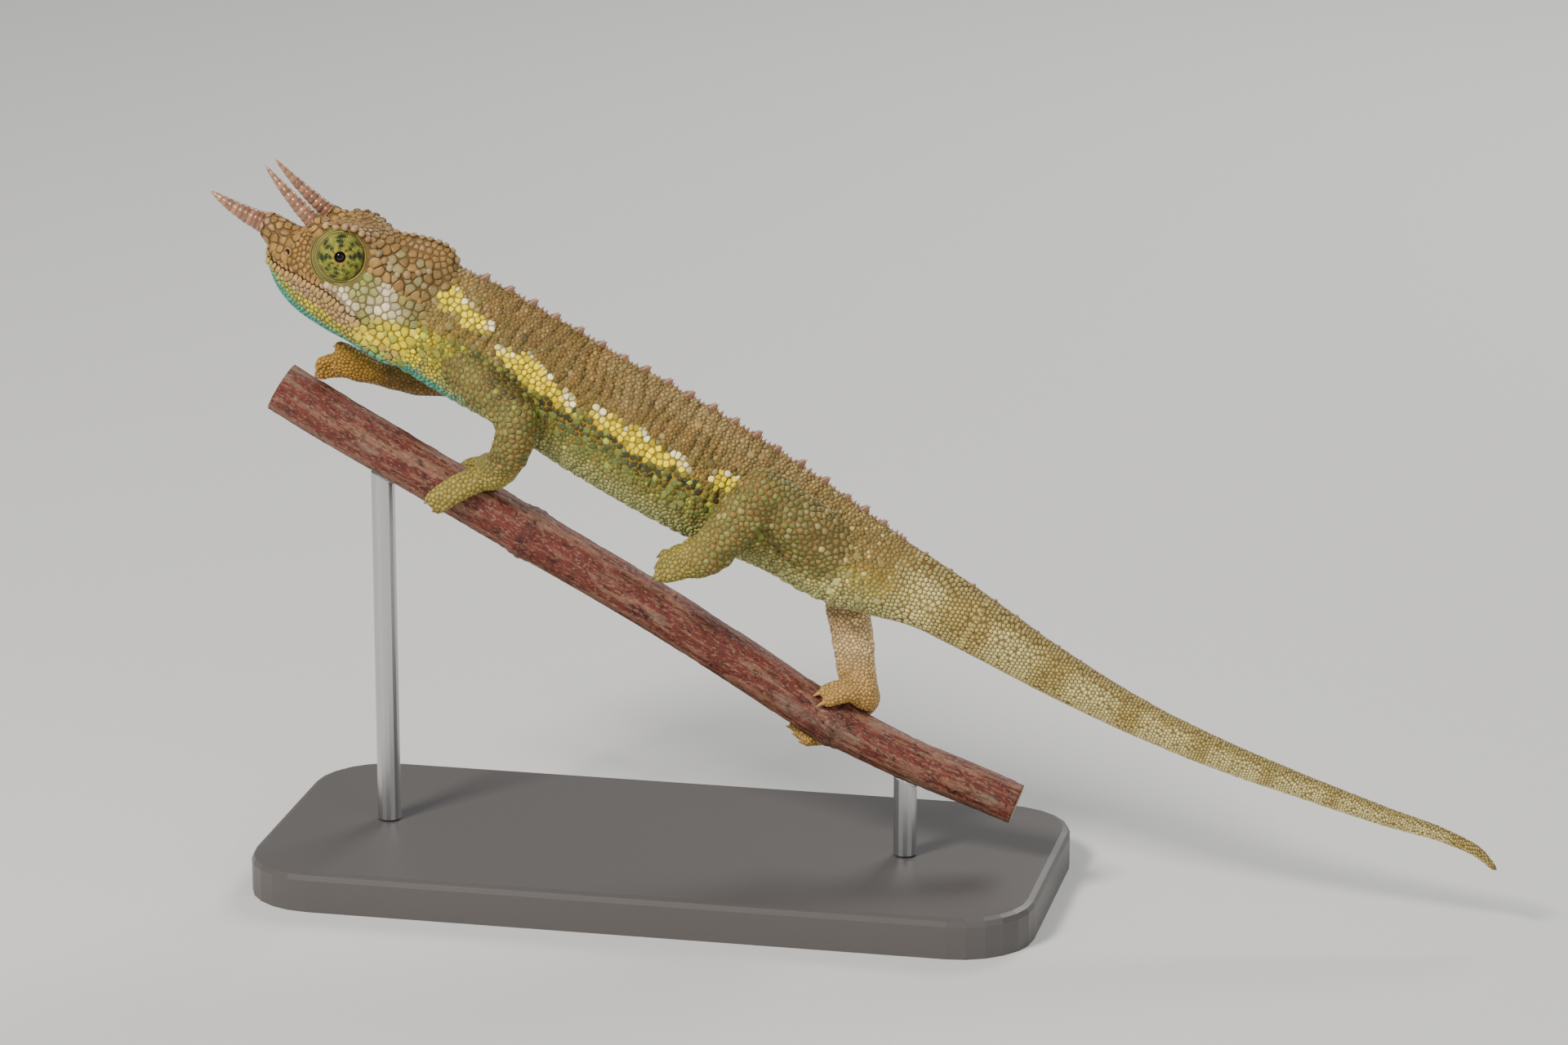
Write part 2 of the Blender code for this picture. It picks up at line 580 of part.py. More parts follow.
def casque_keel(grow=0.0):
    table = np.array(CASQUE_KEEL)
    rings = []
    for u, top, foot in spline(table[:, 0], table, np.linspace(table[0, 0], table[-1, 0], 12)):
        level = [(foot - grow, 1), (foot + (top - foot) * 0.45, 0.66), (foot + (top - foot) * 0.85, 0.34)]
        slim = min(1.0, 0.15 + (top - foot) / 4)
        half = [(v, (KEEL_TOP + (KEEL_FOOT - KEEL_TOP) * share) * slim + grow) for v, share in level]
        right = [head_point(u, v, w, False) for v, w in half]
        crown = [head_point(u, top + grow, w, False) for w in (KEEL_TOP * 0.6 * slim + grow, -KEEL_TOP * 0.6 * slim - grow)]
        left = [head_point(u, v, -w, False) for v, w in half[::-1]]
        rings.append(np.array(right + crown + left))
    if grow:
        rings[-1] = rings[-1] + np.array(head_axes(HEAD_SLOPE, 0, 0)[0]) * grow
    return loft(rings)


def crest_beads():
    """Raised scutes along the brows, up the edges of the casque and down its midline."""
    made = []
    table = np.array(HEAD_STATIONS)

    def bead(u, v, w, size, direction, bends=True):
        centre = head_point(u, v, w, bends)
        out = head_point(u + direction[0], v + direction[1], w + direction[2], bends) - centre
        made.append(cone(centre - out * 0.7, centre + out * size * 0.9, size * 0.85, 5))

    for u in np.arange(6.9, 25.4, 1.4):
        row = dict(zip(HEAD_COLUMNS, spline(table[:, 0], table, u)[0]))
        for side in (-1, 1):
            bead(u, row["brow_v"] - 0.05, side * row["brow_w"], 0.75, (0, 0.7, side * 0.7))
    keel = np.array(CASQUE_KEEL)
    for u in np.arange(15.2, 27.6, 1.3):
        top = spline(keel[:, 0], keel, max(u, 16.0))[0][1] - max(0, 16.0 - u) * 0.5
        lean = max(0.0, (u - 24.0) * 0.28)
        bead(u, top, 0, 0.75, (0.1 + lean, 1, 0), False)
    return made


def build_head(finishes):
    places = np.concatenate([np.linspace(0.7, 6.5, 8), np.linspace(7.4, HEAD_AT_NAPE[0] - GAP, HEAD_RINGS - 12)])
    rings = [head_ring(0.1, 0.50), head_ring(0.35, 0.78)] + [head_ring(u) for u in places]
    shell = loft(rings, head_point(*SNOUT_TIP, 0), None)
    mounds = [casque_keel(), pedestal(ROSTRAL_PEDESTAL, ROSTRAL_HORN, 1)]
    mounds += [pedestal(ORBITAL_PEDESTAL, ORBITAL_HORN, side) for side in (-1, 1)]
    head = join("head", [shell] + mounds + crest_beads(), finishes["head"])
    cutters = []
    for side, gaze in ((-1, EYE_GAZE_LEFT), (1, EYE_GAZE_RIGHT)):
        centre = head_point(EYE_CENTRE[0], EYE_CENTRE[1], side * EYE_CENTRE[2])
        axis = head_direction(gaze)
        suffix = "left" if side < 0 else "right"
        link(f"eye_{suffix}", turned_turret(centre, axis), finishes["eye"])
        link(f"eyeball_{suffix}", turned_solid(EYEBALL_PROFILE, centre, axis, 10), finishes["pupil"])
        outside = np.array(TURRET_PROFILE[3:])
        socket = np.concatenate([[(0.4, 4.6)], grown(outside, GAP), [(2.6, -1.8 - GAP)]])
        cutters.append(turned_solid(socket, centre, axis, 16))
        nostril = head_point(NOSTRIL[0], NOSTRIL[1], side * NOSTRIL[2])
        inward = head_point(NOSTRIL[0] + 0.5, NOSTRIL[1] - 0.2, side * (NOSTRIL[2] - 1.0)) - nostril
        cutters.append(tube((nostril - inward * 0.5, nostril, nostril + inward * 0.7),
                            (NOSTRIL_RADIUS,) * 3, 6, steps=3, side=(1, 0, 0)))
    cut(head, cutters)
    horn("horn_rostral", ROSTRAL_HORN, False, finishes["horn"])
    horn("horn_left", ORBITAL_HORN, True, finishes["horn"])
    horn("horn_right", ORBITAL_HORN, False, finishes["horn"])


def turned_turret(centre, axis):
    """The eye turret: a dome with the eyeball's pocket in its end. The profile runs in at the pocket's floor."""
    pocket = [(0.30, 2.5)]
    return turned_solid(pocket + list(TURRET_PROFILE), centre, axis, 16)


# Branch

def perch_frame(place):
    rows = np.array(PERCH_AXIS)
    places = chord_lengths(rows[:, :2])
    x, z, radius = spline(places, rows, place)[0]
    ahead, behind = spline(places, rows[:, :2], [place - 0.5, place + 0.5])
    back = unit(behind - ahead)
    swell = sum(size * math.exp(-(((place - knot) / KNOT_REACH) ** 2)) for knot, size in PERCH_KNOTS)
    return (np.array([x, 0, z]), np.array([back[0], 0, back[1]]), np.array([-back[1], 0, back[0]]), radius + swell)


def perch_length():
    return chord_lengths(np.array(PERCH_AXIS)[:, :2])[-1]


def perch_tube(start, end, spacing, grow=0.0, count=12):
    rings = []
    for place in np.linspace(start, end, max(3, round((end - start) / spacing) + 1)):
        centre, _, up, radius = perch_frame(place)
        rings.append(circle(centre, up * (radius + grow), np.array([0, 1, 0]) * (radius + grow), count))
    return loft(rings)


def twig_stub(grow=0.0):
    """The stub of a side twig under the rear leaf scar."""
    centre, back, up, radius = perch_frame(PERCH_KNOTS[1][0] + 0.6)
    return tube((centre - up * 1.5, centre - up * radius, centre - up * (radius + 1.2) - back * 0.3),
                (1.2, 1.0, 0.8), 8, grow=grow, steps=4)


def build_perch(finishes):
    join("perch", [perch_tube(0, perch_length(), 3.2), twig_stub()], finishes["bark"])


# Limbs and feet

def limb_solid(limb, part, grow=0.0):
    start, middle, end, radii, flatten = LIMBS[limb][part]
    return tube((start, middle, end), radii, 10, flatten, grow, steps=7)


def build_limbs(finishes):
    trunk = {"arm": (-0.5, 40.0), "leg": (40.0, 100.0)}
    for limb in LIMBS:
        finish = finishes["pale_limb"] if limb == "leg_right" else finishes["limb"]
        names = ("upper", "fore") if limb.startswith("arm") else ("thigh", "shank")
        span = trunk[limb[:3]]
        upper = link(f"{limb}_{names[0]}", limb_solid(limb, "upper"), finish)
        cut(upper, [body_cutter(*span)])
        lower = link(f"{limb}_{names[1]}", limb_solid(limb, "lower"), finish)
        cut(lower, [limb_solid(limb, "upper", GAP), body_cutter(*span)])


def toe(points, radius, count=6):
    """One toe and its claw as two bmeshes; the claw curls on from the toe's end."""
    points = [np.asarray(p, float) for p in points]
    body = tube(points, (radius, radius * 0.98, radius * 0.9, radius * 0.74), count, steps=5)
    heading = unit(points[-1] - points[-2])
    curl = unit((points[-1] - points[-2]) - (points[-2] - points[-3]))
    tip = points[-1] + heading * (radius * 0.6 + CLAW_LENGTH * 0.72) + curl * CLAW_LENGTH * 0.45
    claw = cone(points[-1] + heading * radius * 0.1, tip, CLAW_RADIUS, 5, lean=heading * 0.25 - curl * 0.12)
    return [body, claw]


def bundle(name, path, across, count, cutters, finish, radius=TOE_RADIUS):
    """A bundle of toes side by side: the path is its middle, and across says which way the toes lie."""
    builders = []
    for i in range(count):
        offset = i - (count - 1) / 2
        fan = (0.75, 0.85, 0.95, 1.08)
        reach = (0, 0, 0.0, -0.25 * abs(offset))
        heading = unit(np.asarray(path[-1], float) - np.asarray(path[-2], float))
        points = [np.asarray(p, float) + np.asarray(a, float) * offset * TOE_SPREAD * 1.6 * f + heading * r
                  for p, a, f, r in zip(path, across, fan, reach)]
        builders += toe(points, radius * (1.0 if count == 2 else 0.92))
    made = join(name, builders, finish)
    cut(made, cutters)
    return made


def round_perch(place, angle, lift):
    """A point on the branch: angle 0 is on top, positive towards the animal's left; lift is above the bark."""
    centre, back, up, radius = perch_frame(place)
    outward = up * math.cos(angle) + np.array([0, -1, 0]) * math.sin(angle)
    return centre + outward * (radius + lift), outward, back


def grip_path(places, angles, lifts):
    """A path round the branch, and at each of its points the direction across the toes, in the bark's surface."""
    points = [round_perch(p, math.radians(a), lift) for p, a, lift in zip(places, angles, lifts)]
    path = [p[0] for p in points]
    along = np.gradient(np.array(path), axis=0)
    across = [unit(np.cross(run, out[1])) for run, out in zip(along, points)]
    return path, across


GRIPPING_FEET = {
    "arm_left": {
        "palm": ((36.6, 16, 2.2, 2.6), (35.6, -14, 1.9, 2.3)),
        "outer": ((36.4, 34.2, 32.4, 31.3), (20, 52, 84, 112), (1.9, 1.6, 1.45, 1.2)),
        "inner": ((36.2, 34.4, 33.0, 32.0), (-22, -52, -84, -110), (1.8, 1.5, 1.35, 1.2)),
    },
    "leg_right": {
        "palm": ((106.2, -8, 2.0, 2.3), (106.8, -34, 2.0, 2.4)),
        "inner": ((105.8, 104.0, 102.4, 101.2), (-8, 8, 21, 33), (2.0, 2.2, 1.9, 1.15)),
        "outer": ((106.6, 104.8, 102.6, 100.4), (-44, -90, -136, -172), (1.6, 1.5, 1.4, 1.3)),
    },
}
FREE_FEET = {
    "leg_left": {
        "palm": ((-12.0, -10.0, -3.7, 3.3), (-12.0, -7.4, -4.1, 2.8)),
        "outer": ((-12.4, -10.7, -4.0), (-14.6, -11.0, -4.7), (-16.8, -10.6, -5.2), (-17.9, -9.7, -5.5)),
        "inner": ((-12.4, -6.8, -4.2), (-14.6, -6.0, -4.7), (-16.6, -5.8, -5.2), (-17.6, -6.2, -5.8)),
        "across": (0.25, 0.0, 1.0),
    },
    "arm_right": {
        "palm": ((-70.4, 8.9, 19.0, 2.1), (-70.4, 7.0, 19.6, 2.0)),
        "outer": ((-71.4, 9.2, 19.0), (-74.4, 9.9, 19.3), (-77.2, 10.0, 19.2), (-79.0, 9.4, 18.7)),
        "inner": ((-70.8, 6.3, 20.0), (-72.2, 5.2, 20.9), (-73.6, 4.6, 21.8), (-74.5, 4.3, 22.2)),
        "across": (0.15, -0.15, 1.0),
    },
}


def palm_balls(limb):
    """Balls that a palm is stretched over: the wrist or ankle, then one at the root of each bundle of toes."""
    lower = LIMBS[limb]["lower"]
    balls = [(lower[2], lower[3][2])]
    if limb in FREE_FEET:
        return balls + [(ball[:3], ball[3]) for ball in FREE_FEET[limb]["palm"]]
    for place, angle, lift, radius in GRIPPING_FEET[limb]["palm"]:
        balls.append((round_perch(place, math.radians(angle), lift)[0], radius))
    return balls


def build_feet(finishes):
    for limb in LIMBS:
        finish = finishes["pale_limb"] if limb == "leg_right" else finishes["limb"]
        palm = link(palm_name(limb), hull(palm_balls(limb)), finish)
        cut(palm, [limb_solid(limb, "lower", GAP), bark_near(limb)])
        for side in ("inner", "outer"):
            if limb in FREE_FEET:
                path, across = FREE_FEET[limb][side], [unit(FREE_FEET[limb]["across"])] * 4
            else:
                path, across = grip_path(*GRIPPING_FEET[limb][side])
            cutters = [hull(palm_balls(limb), GAP), bark_near(limb), limb_solid(limb, "lower", GAP)]
            if limb == "leg_right":
                cutters.append(twig_stub(GAP))
            bundle(toes_name(limb, side), path, across, TOE_COUNTS[limb[:3]][side], cutters, finish)


def bark_near(limb):
    """The length of branch under a foot, grown by the gap that is left to it."""
    middle = {"arm_left": 36, "arm_right": 20, "leg_left": 80, "leg_right": 106}[limb]
    return perch_tube(middle - 16, middle + 16, 3.2, GAP)


def palm_name(limb):
    return limb.replace("arm", "hand").replace("leg", "foot") + "_palm"


def toes_name(limb, side):
    return limb.replace("arm", "hand").replace("leg", "foot") + f"_toes_{side}"


# Stand

def build_stand(finishes):
    length, depth, thickness = BASE_SIZE
    built = bmesh.new()
    centre = (BASE_CENTRE[0], BASE_CENTRE[1], BASE_TOP - thickness / 2)
    bmesh.ops.create_cube(built, size=1.0, matrix=Matrix.Translation(centre) @ Matrix.Diagonal((*BASE_SIZE, 1)))
    upright = [e for e in built.edges if abs(e.verts[0].co.z - e.verts[1].co.z) > 1]
    bmesh.ops.bevel(built, geom=upright, offset=BASE_ROUNDING, segments=6, affect="EDGES", profile=0.5)
    rim = [e for e in built.edges if all(abs(v.co.z - BASE_TOP) < 1e-4 for v in e.verts)]
    bmesh.ops.bevel(built, geom=rim, offset=BASE_BEVEL, segments=2, affect="EDGES", profile=0.5)
    link("stand_base", built, finishes["base"])
    for name, place in ROD_PLACES.items():
        foot, _, up, radius = perch_frame(place)
        low = np.array([foot[0], 0, BASE_TOP + GAP])
        high = np.array([foot[0], 0, foot[2] - radius + ROD_GRIP])
        across, beside = np.array([ROD_RADIUS, 0, 0]), np.array([0, ROD_RADIUS, 0])
        rod = link(name, loft([circle(low, across, beside, 16), circle(high, across, beside, 16)]), finishes["rod"])
        cut(rod, [perch_tube(place - 12, place + 12, 3.0, GAP, 28)])


def set_down():
    """Moves the finished model so that its box is centred on the origin with its underside at z = 0."""
    bpy.context.view_layer.update()
    points = np.array([obj.matrix_world @ v.co for obj in bpy.data.objects for v in obj.data.vertices])
    low, high = points.min(axis=0), points.max(axis=0)
    shift = Matrix.Translation((-(low[0] + high[0]) / 2, -(low[1] + high[1]) / 2, -low[2]))
    for obj in bpy.data.objects:
        obj.data.transform(shift)
    print("set down by", tuple(round(x / MM, 2) for x in shift.translation), "mm")


def main():
    clear_scene()
    finishes = {name: material(name, colour, 0.62) for name, colour in SKIN_COLOURS.items()}
    finishes["horn"] = material("horn", HORN_COLOUR, 0.35)
    finishes["eye"] = material("eye", EYE_COLOUR, 0.5)
    finishes["pupil"] = material("pupil", PUPIL_COLOUR, 0.08)
    finishes["bark"] = material("bark", BARK_COLOUR, 0.75)
    finishes["base"] = material("base", BASE_COLOUR, 0.45)
    finishes["rod"] = material("rod", ROD_COLOUR, 0.3, 1.0)
    build_body(finishes)
    build_head(finishes)
    build_perch(finishes)
    build_limbs(finishes)
    build_feet(finishes)
    build_stand(finishes)
    set_down()


main()
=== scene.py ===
import math
import bpy
import numpy as np
from mathutils import Matrix, Vector
from mathutils.bvhtree import BVHTree
from mathutils.kdtree import KDTree


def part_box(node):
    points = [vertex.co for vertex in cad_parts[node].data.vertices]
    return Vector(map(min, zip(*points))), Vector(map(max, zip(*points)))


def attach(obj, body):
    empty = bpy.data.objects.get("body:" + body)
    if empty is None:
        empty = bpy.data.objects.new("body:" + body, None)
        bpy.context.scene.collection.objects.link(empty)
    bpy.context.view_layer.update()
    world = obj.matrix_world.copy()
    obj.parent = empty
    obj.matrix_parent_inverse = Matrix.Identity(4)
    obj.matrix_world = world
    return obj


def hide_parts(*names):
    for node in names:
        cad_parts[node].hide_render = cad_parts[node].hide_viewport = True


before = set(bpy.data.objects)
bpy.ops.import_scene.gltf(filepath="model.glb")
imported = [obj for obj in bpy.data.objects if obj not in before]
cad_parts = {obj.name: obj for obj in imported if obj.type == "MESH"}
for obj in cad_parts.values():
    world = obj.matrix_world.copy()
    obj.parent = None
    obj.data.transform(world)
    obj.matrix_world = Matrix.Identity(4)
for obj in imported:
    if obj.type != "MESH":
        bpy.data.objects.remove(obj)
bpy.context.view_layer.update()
print("frame loaded:", len(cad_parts), "nodes")

mm = 0.001
baseLow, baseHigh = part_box("stand_base")
# the measurements below are in millimetres from the middle of the animal, as in the part's own source
origin = np.array([(baseLow.x + baseHigh.x) / 2 + 0.020, 0.0, baseLow.z + 0.061])

animal = {
    # centre x and z, height, width of the body, from the nape to the tip of the tail
    "axis": ((-58.1, 30.9, 19.2, 11.4), (-51.8, 27.9, 20.4, 12.0), (-42.3, 23.0, 20.2, 12.6),
             (-29.1, 15.6, 20.7, 13.2), (-18.5, 10.0, 20.8, 13.2), (-8.9, 5.1, 20.0, 12.2),
             (0.9, 0.2, 17.7, 10.8), (9.1, -4.6, 16.6, 10.0), (15.7, -7.5, 14.2, 9.0),
             (22.4, -10.2, 11.3, 8.0), (29.3, -13.8, 10.0, 7.6), (43.1, -21.6, 7.7, 6.4),
             (56.9, -28.5, 5.9, 5.2), (70.5, -34.0, 4.8, 4.3), (83.8, -38.4, 3.8, 3.5),
             (97.0, -42.5, 3.0, 2.8), (107.4, -45.4, 2.2, 2.1), (112.0, -47.5, 1.75, 1.7),
             (114.7, -50.2, 1.1, 1.1)),
    "snout": (-85.2, 0.0, 39.9),
    "headSlope": 32.5, "headYaw": 4.0, "headRoll": 3.0,
    "headPivot": (24.0, 6.0),
    "eye": (11.5, 8.6, 4.2),
    "gazeLeft": (0.16, 0.29, -0.94), "gazeRight": (-0.18, 0.12, 0.97),
}
seed = 11
rng = np.random.default_rng(seed)


def unit(v):
    v = np.asarray(v, float)
    return v / np.maximum(np.linalg.norm(v, axis=-1, keepdims=True), 1e-9)


def smoothstep(low, high, x):
    t = np.clip((x - low) / (high - low), 0, 1)
    return t * t * (3 - 2 * t)


def bump(x, centre, reach):
    return np.exp(-(((x - centre) / reach) ** 2))


def lengthAlong(rows):
    # how far along a path each row is, from the first two columns
    return np.concatenate([[0], np.cumsum(np.linalg.norm(np.diff(rows[:, :2], axis=0), axis=1))])


def anglesOf(sides):
    return np.arange(sides) * math.tau / sides


def through(knots, values, at):
    # a smooth curve through the knots
    knots, values = np.asarray(knots, float), np.asarray(values, float)
    at = np.atleast_1d(at).astype(float)
    slopes = np.gradient(values, knots, axis=0)
    at = np.clip(at, knots[0], knots[-1])
    i = np.clip(np.searchsorted(knots, at, "right") - 1, 0, len(knots) - 2)
    span = (knots[i + 1] - knots[i])[:, None]
    t = ((at - knots[i]) / span[:, 0])[:, None]
    return ((2 * t**3 - 3 * t**2 + 1) * values[i] + (t**3 - 2 * t**2 + t) * span * slopes[i]
            + (3 * t**2 - 2 * t**3) * values[i + 1] + (t**3 - t**2) * span * slopes[i + 1])


def valueNoise(x, y, seed, wrap=None):
    # smooth noise of two numbers, repeating round a turn if it is given
    table = np.random.default_rng(seed).random((256, 256))
    xi, yi = np.floor(x).astype(int), np.floor(y).astype(int)
    fx, fy = x - xi, y - yi
    fx, fy = fx * fx * (3 - 2 * fx), fy * fy * (3 - 2 * fy)
    y0, y1 = (yi % wrap, (yi + 1) % wrap) if wrap else (yi % 256, (yi + 1) % 256)
    x0, x1 = xi % 256, (xi + 1) % 256
    return ((table[x0, y0] * (1 - fx) + table[x1, y0] * fx) * (1 - fy)
            + (table[x0, y1] * (1 - fx) + table[x1, y1] * fx) * fy)


# where things are on the animal
axisRows = np.array(animal["axis"])
axisRun = lengthAlong(axisRows)
axisAt = np.linspace(0, axisRun[-1], 500)
axisDense = through(axisRun, axisRows, axisAt)
axisBack = unit(np.gradient(axisDense[:, :2], axis=0))


def headAxes(slope, yaw, roll):
    slope, yaw, roll = (math.radians(a) for a in (slope, yaw, roll))
    back = np.array([math.cos(slope) * math.cos(yaw), -math.sin(yaw), -math.sin(slope) * math.cos(yaw)])
    up = unit(np.cross(back, (0, 1, 0)))
    right = unit(np.cross(up, back))
    return back, up * math.cos(roll) - right * math.sin(roll), right * math.cos(roll) + up * math.sin(roll)


straightBack, straightUp, _ = headAxes(animal["headSlope"], 0, 0)
pivotBack, pivotUp = animal["headPivot"]
headPivot = np.array(animal["snout"]) + straightBack * pivotBack + straightUp * pivotUp
headBack, headUp, headRight = headAxes(animal["headSlope"], animal["headYaw"], animal["headRoll"])


def headPoint(u, v, w):
    return headPivot + headBack * (u - pivotBack) + headUp * (v - pivotUp) + headRight * w


def headDirection(vector):
    return unit(headBack * vector[0] + headUp * vector[1] + headRight * vector[2])


def headPlace(points):
    # u back from the snout, v up, w to the animal's right
    offset = points - headPivot
    return np.column_stack([offset @ headBack + pivotBack, offset @ headUp + pivotUp, offset @ headRight])


def bodyPlace(points):
    # distance along the body from the nape, height from -1 at the belly to 1 at the back
    along, height = np.empty(len(points)), np.empty(len(points))
    batch = 20000  # points at a time, so that their distances fit in memory
    for start in range(0, len(points), batch):
        now = slice(start, start + batch)
        part = points[now][:, (0, 2)]
        gap = ((part[:, None, :] - axisDense[None, :, :2]) ** 2).sum(axis=2)
        near = gap.argmin(axis=1)
        up = np.column_stack([-axisBack[near, 1], axisBack[near, 0]])
        along[now] = axisAt[near]
        height[now] = ((part - axisDense[near, :2]) * up).sum(axis=1) / (axisDense[near, 2] / 2)
    return along, height


# meshes in and out
def read(items, field, width=1, kind=float):
    # one field of a mesh's vertices, corners or faces as an array
    values = np.empty(len(items) * width, kind)
    items.foreach_get(field, values)
    return values.reshape(-1, width) if width > 1 else values


def treeOf(points):
    tree = KDTree(len(points))
    for i, p in enumerate(points):
        tree.insert(p, i)
    tree.balance()
    return tree


def cadArrays(name):
    # a node's mesh with its doubles merged
    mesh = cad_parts[name].data
    mesh.calc_loop_triangles()
    points = read(mesh.vertices, "co", 3) / mm - origin / mm
    tris = read(mesh.loop_triangles, "vertices", 3, int)
    keys = np.round(points, 4)
    _, first, back = np.unique(keys, axis=0, return_index=True, return_inverse=True)
    tris = back.reshape(-1)[tris]
    flat = (tris[:, 0] == tris[:, 1]) | (tris[:, 1] == tris[:, 2]) | (tris[:, 0] == tris[:, 2])
    return points[first], tris[~flat]


def vertexNormals(points, tris):
    faces = np.cross(points[tris[:, 1]] - points[tris[:, 0]], points[tris[:, 2]] - points[tris[:, 0]])
    normals = np.zeros_like(points)
    for corner in range(3):
        np.add.at(normals, tris[:, corner], faces)
    return unit(normals)


def areaPicks(corners, density):
    # random places over triangles: which one each is on, and the share of its corners
    edges = corners[:, 1:] - corners[:, :1]
    areas = np.linalg.norm(np.cross(edges[:, 0], edges[:, 1]), axis=1) / 2
    count = int(areas.sum() * density)
    pick = rng.choice(len(corners), count, p=areas / areas.sum())
    r1, r2 = np.sqrt(rng.random(count)), rng.random(count)
    return pick, np.column_stack([1 - r1, r1 * (1 - r2), r1 * r2])[:, :, None]


def fillMesh(name, points, faces):
    # faces is an array, so all of them have as many corners
    mesh = bpy.data.meshes.new(name)
    mesh.vertices.add(len(points))
    mesh.vertices.foreach_set("co", points.ravel())
    mesh.loops.add(faces.size)
    mesh.loops.foreach_set("vertex_index", faces.ravel())
    mesh.polygons.add(len(faces))
    mesh.polygons.foreach_set("loop_start", np.arange(0, faces.size, faces.shape[1]))
    mesh.update(calc_edges=True)
    return mesh


def addObject(name, data):
    made = bpy.data.objects.new(name, data)
    bpy.context.scene.collection.objects.link(made)
    return made


def makePiece(name, points, faces, finish, colours=None, uv=None):
    points = np.asarray(points, float) * mm + origin
    if isinstance(faces, np.ndarray):
        mesh = fillMesh(name, points, faces)
    else:
        mesh = bpy.data.meshes.new(name)
        mesh.from_pydata([tuple(p) for p in points], [], [tuple(f) for f in faces])
    mesh.validate()
    mesh.polygons.foreach_set("use_smooth", np.ones(len(mesh.polygons), bool))
    if colours is not None:
        layer = mesh.color_attributes.new("paint", "FLOAT_COLOR", "POINT")
        layer.data.foreach_set("color", np.column_stack([colours, np.ones(len(colours))]).ravel())
    if uv is not None:
        layer = mesh.uv_layers.new(name="OFBake")
        layer.data.foreach_set("uv", np.asarray(uv, float).ravel())
    piece = addObject(name, mesh)
    mesh.materials.append(finish)
    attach(piece, "root")
    return piece


# shader maths
class Wire:
    # one socket, with arithmetic
    def __init__(self, paint, socket):
        self.paint, self.socket = paint, socket

    def maths(self, operation, other, swap=False):
        pair = (other, self) if swap else (self, other)
        return self.paint.node("ShaderNodeMath", {"operation": operation}, {0: pair[0], 1: pair[1]})

    def __add__(self, other): return self.maths("ADD", other)
    def __radd__(self, other): return self.maths("ADD", other, True)
    def __sub__(self, other): return self.maths("SUBTRACT", other)
    def __rsub__(self, other): return self.maths("SUBTRACT", other, True)
    def __mul__(self, other): return self.maths("MULTIPLY", other)
    def __rmul__(self, other): return self.maths("MULTIPLY", other, True)


class Tree:
    def node(self, kind, settings=None, values=None, output=0):
        made = self.tree.nodes.new(kind)
        for key, value in (settings or {}).items():
            if key == "stops":
                ramp = made.color_ramp
                while len(ramp.elements) < len(value):
                    ramp.elements.new(0.5)
                for stop, (place, colour) in zip(ramp.elements, value):
                    stop.position, stop.color = place, (*colour, 1)
            else:
                setattr(made, key, value)
        for key, value in (values or {}).items():
            if isinstance(value, Wire):
                self.tree.links.new(value.socket, made.inputs[key])
            else:
                made.inputs[key].default_value = value
        return Wire(self, made.outputs[output])


class Shape(Tree):
    # a geometry tree with named inputs
    def __init__(self, name, inputs):
        self.tree = bpy.data.node_groups.new(name, "GeometryNodeTree")
        for label, kind in {"Roots": "Geometry", **inputs}.items():
            self.tree.interface.new_socket(label, in_out="INPUT", socket_type="NodeSocket" + kind)
        self.tree.interface.new_socket("Mesh", in_out="OUTPUT", socket_type="NodeSocketGeometry")
        self.group = self.tree.nodes.new("NodeGroupInput")

    def given(self, label):
        return Wire(self, self.group.outputs[label])

    def deliver(self, mesh):
        self.tree.links.new(mesh.socket, self.tree.nodes.new("NodeGroupOutput").inputs[0])


class Finish(Tree):
    def __init__(self, name, **fixed):
        self.material = bpy.data.materials.new(name)
        self.material.use_nodes = True
        self.tree = self.material.node_tree
        self.shader = self.tree.nodes["Principled BSDF"]
        for socket, value in fixed.items():
            self.shader.inputs[socket.replace("_", " ")].default_value = value

    def mix(self, factor, first, second, blend="MIX"):
        colours = {}
        for key, value in ((6, first), (7, second)):
            colours[key] = value if isinstance(value, Wire) else (*value, 1)
        return self.node("ShaderNodeMix", {"data_type": "RGBA", "blend_type": blend},
                         {0: factor, **colours}, 2)

    def place(self, scale=(1, 1, 1), turn=(0, 0, 0)):
        here = self.node("ShaderNodeTexCoord", None, None, 3)
        return self.node("ShaderNodeMapping", {"vector_type": "TEXTURE"},
                         {"Vector": here, "Rotation": turn, "Scale": tuple(1 / s for s in scale)})

    def noise(self, size, detail=3, where=None, rough=0.5):
        return self.node("ShaderNodeTexNoise", None,
                         {"Vector": where or self.place(), "Scale": 1 / (size * mm), "Detail": detail,
                          "Roughness": rough})

    def ramp(self, value, stops):
        return self.node("ShaderNodeValToRGB", {"stops": stops}, {0: value})

    def feed(self, socket, value):
        self.tree.links.new(value.socket, self.shader.inputs[socket])

    def relief(self, height, depth, strength=1.0):
        self.feed("Normal", self.node("ShaderNodeBump", None, {"Height": height, "Distance": depth * mm,
                                                               "Strength": strength}))


def painted(name, grain, grainDepth, **fixed):
    # takes its colours from the piece's own paint attribute, with a little grain over them
    finish = Finish(name, **fixed)
    colour = finish.node("ShaderNodeAttribute", {"attribute_name": "paint"})
    mottle = finish.ramp(finish.noise(grain * 4, 4), [(0.3, (0.72, 0.72, 0.72)), (0.7, (1.12, 1.12, 1.12))])
    finish.feed("Base Color", finish.mix(0.75, colour, mottle, "MULTIPLY"))
    finish.relief(finish.noise(grain, 3), grainDepth)
    return finish.material


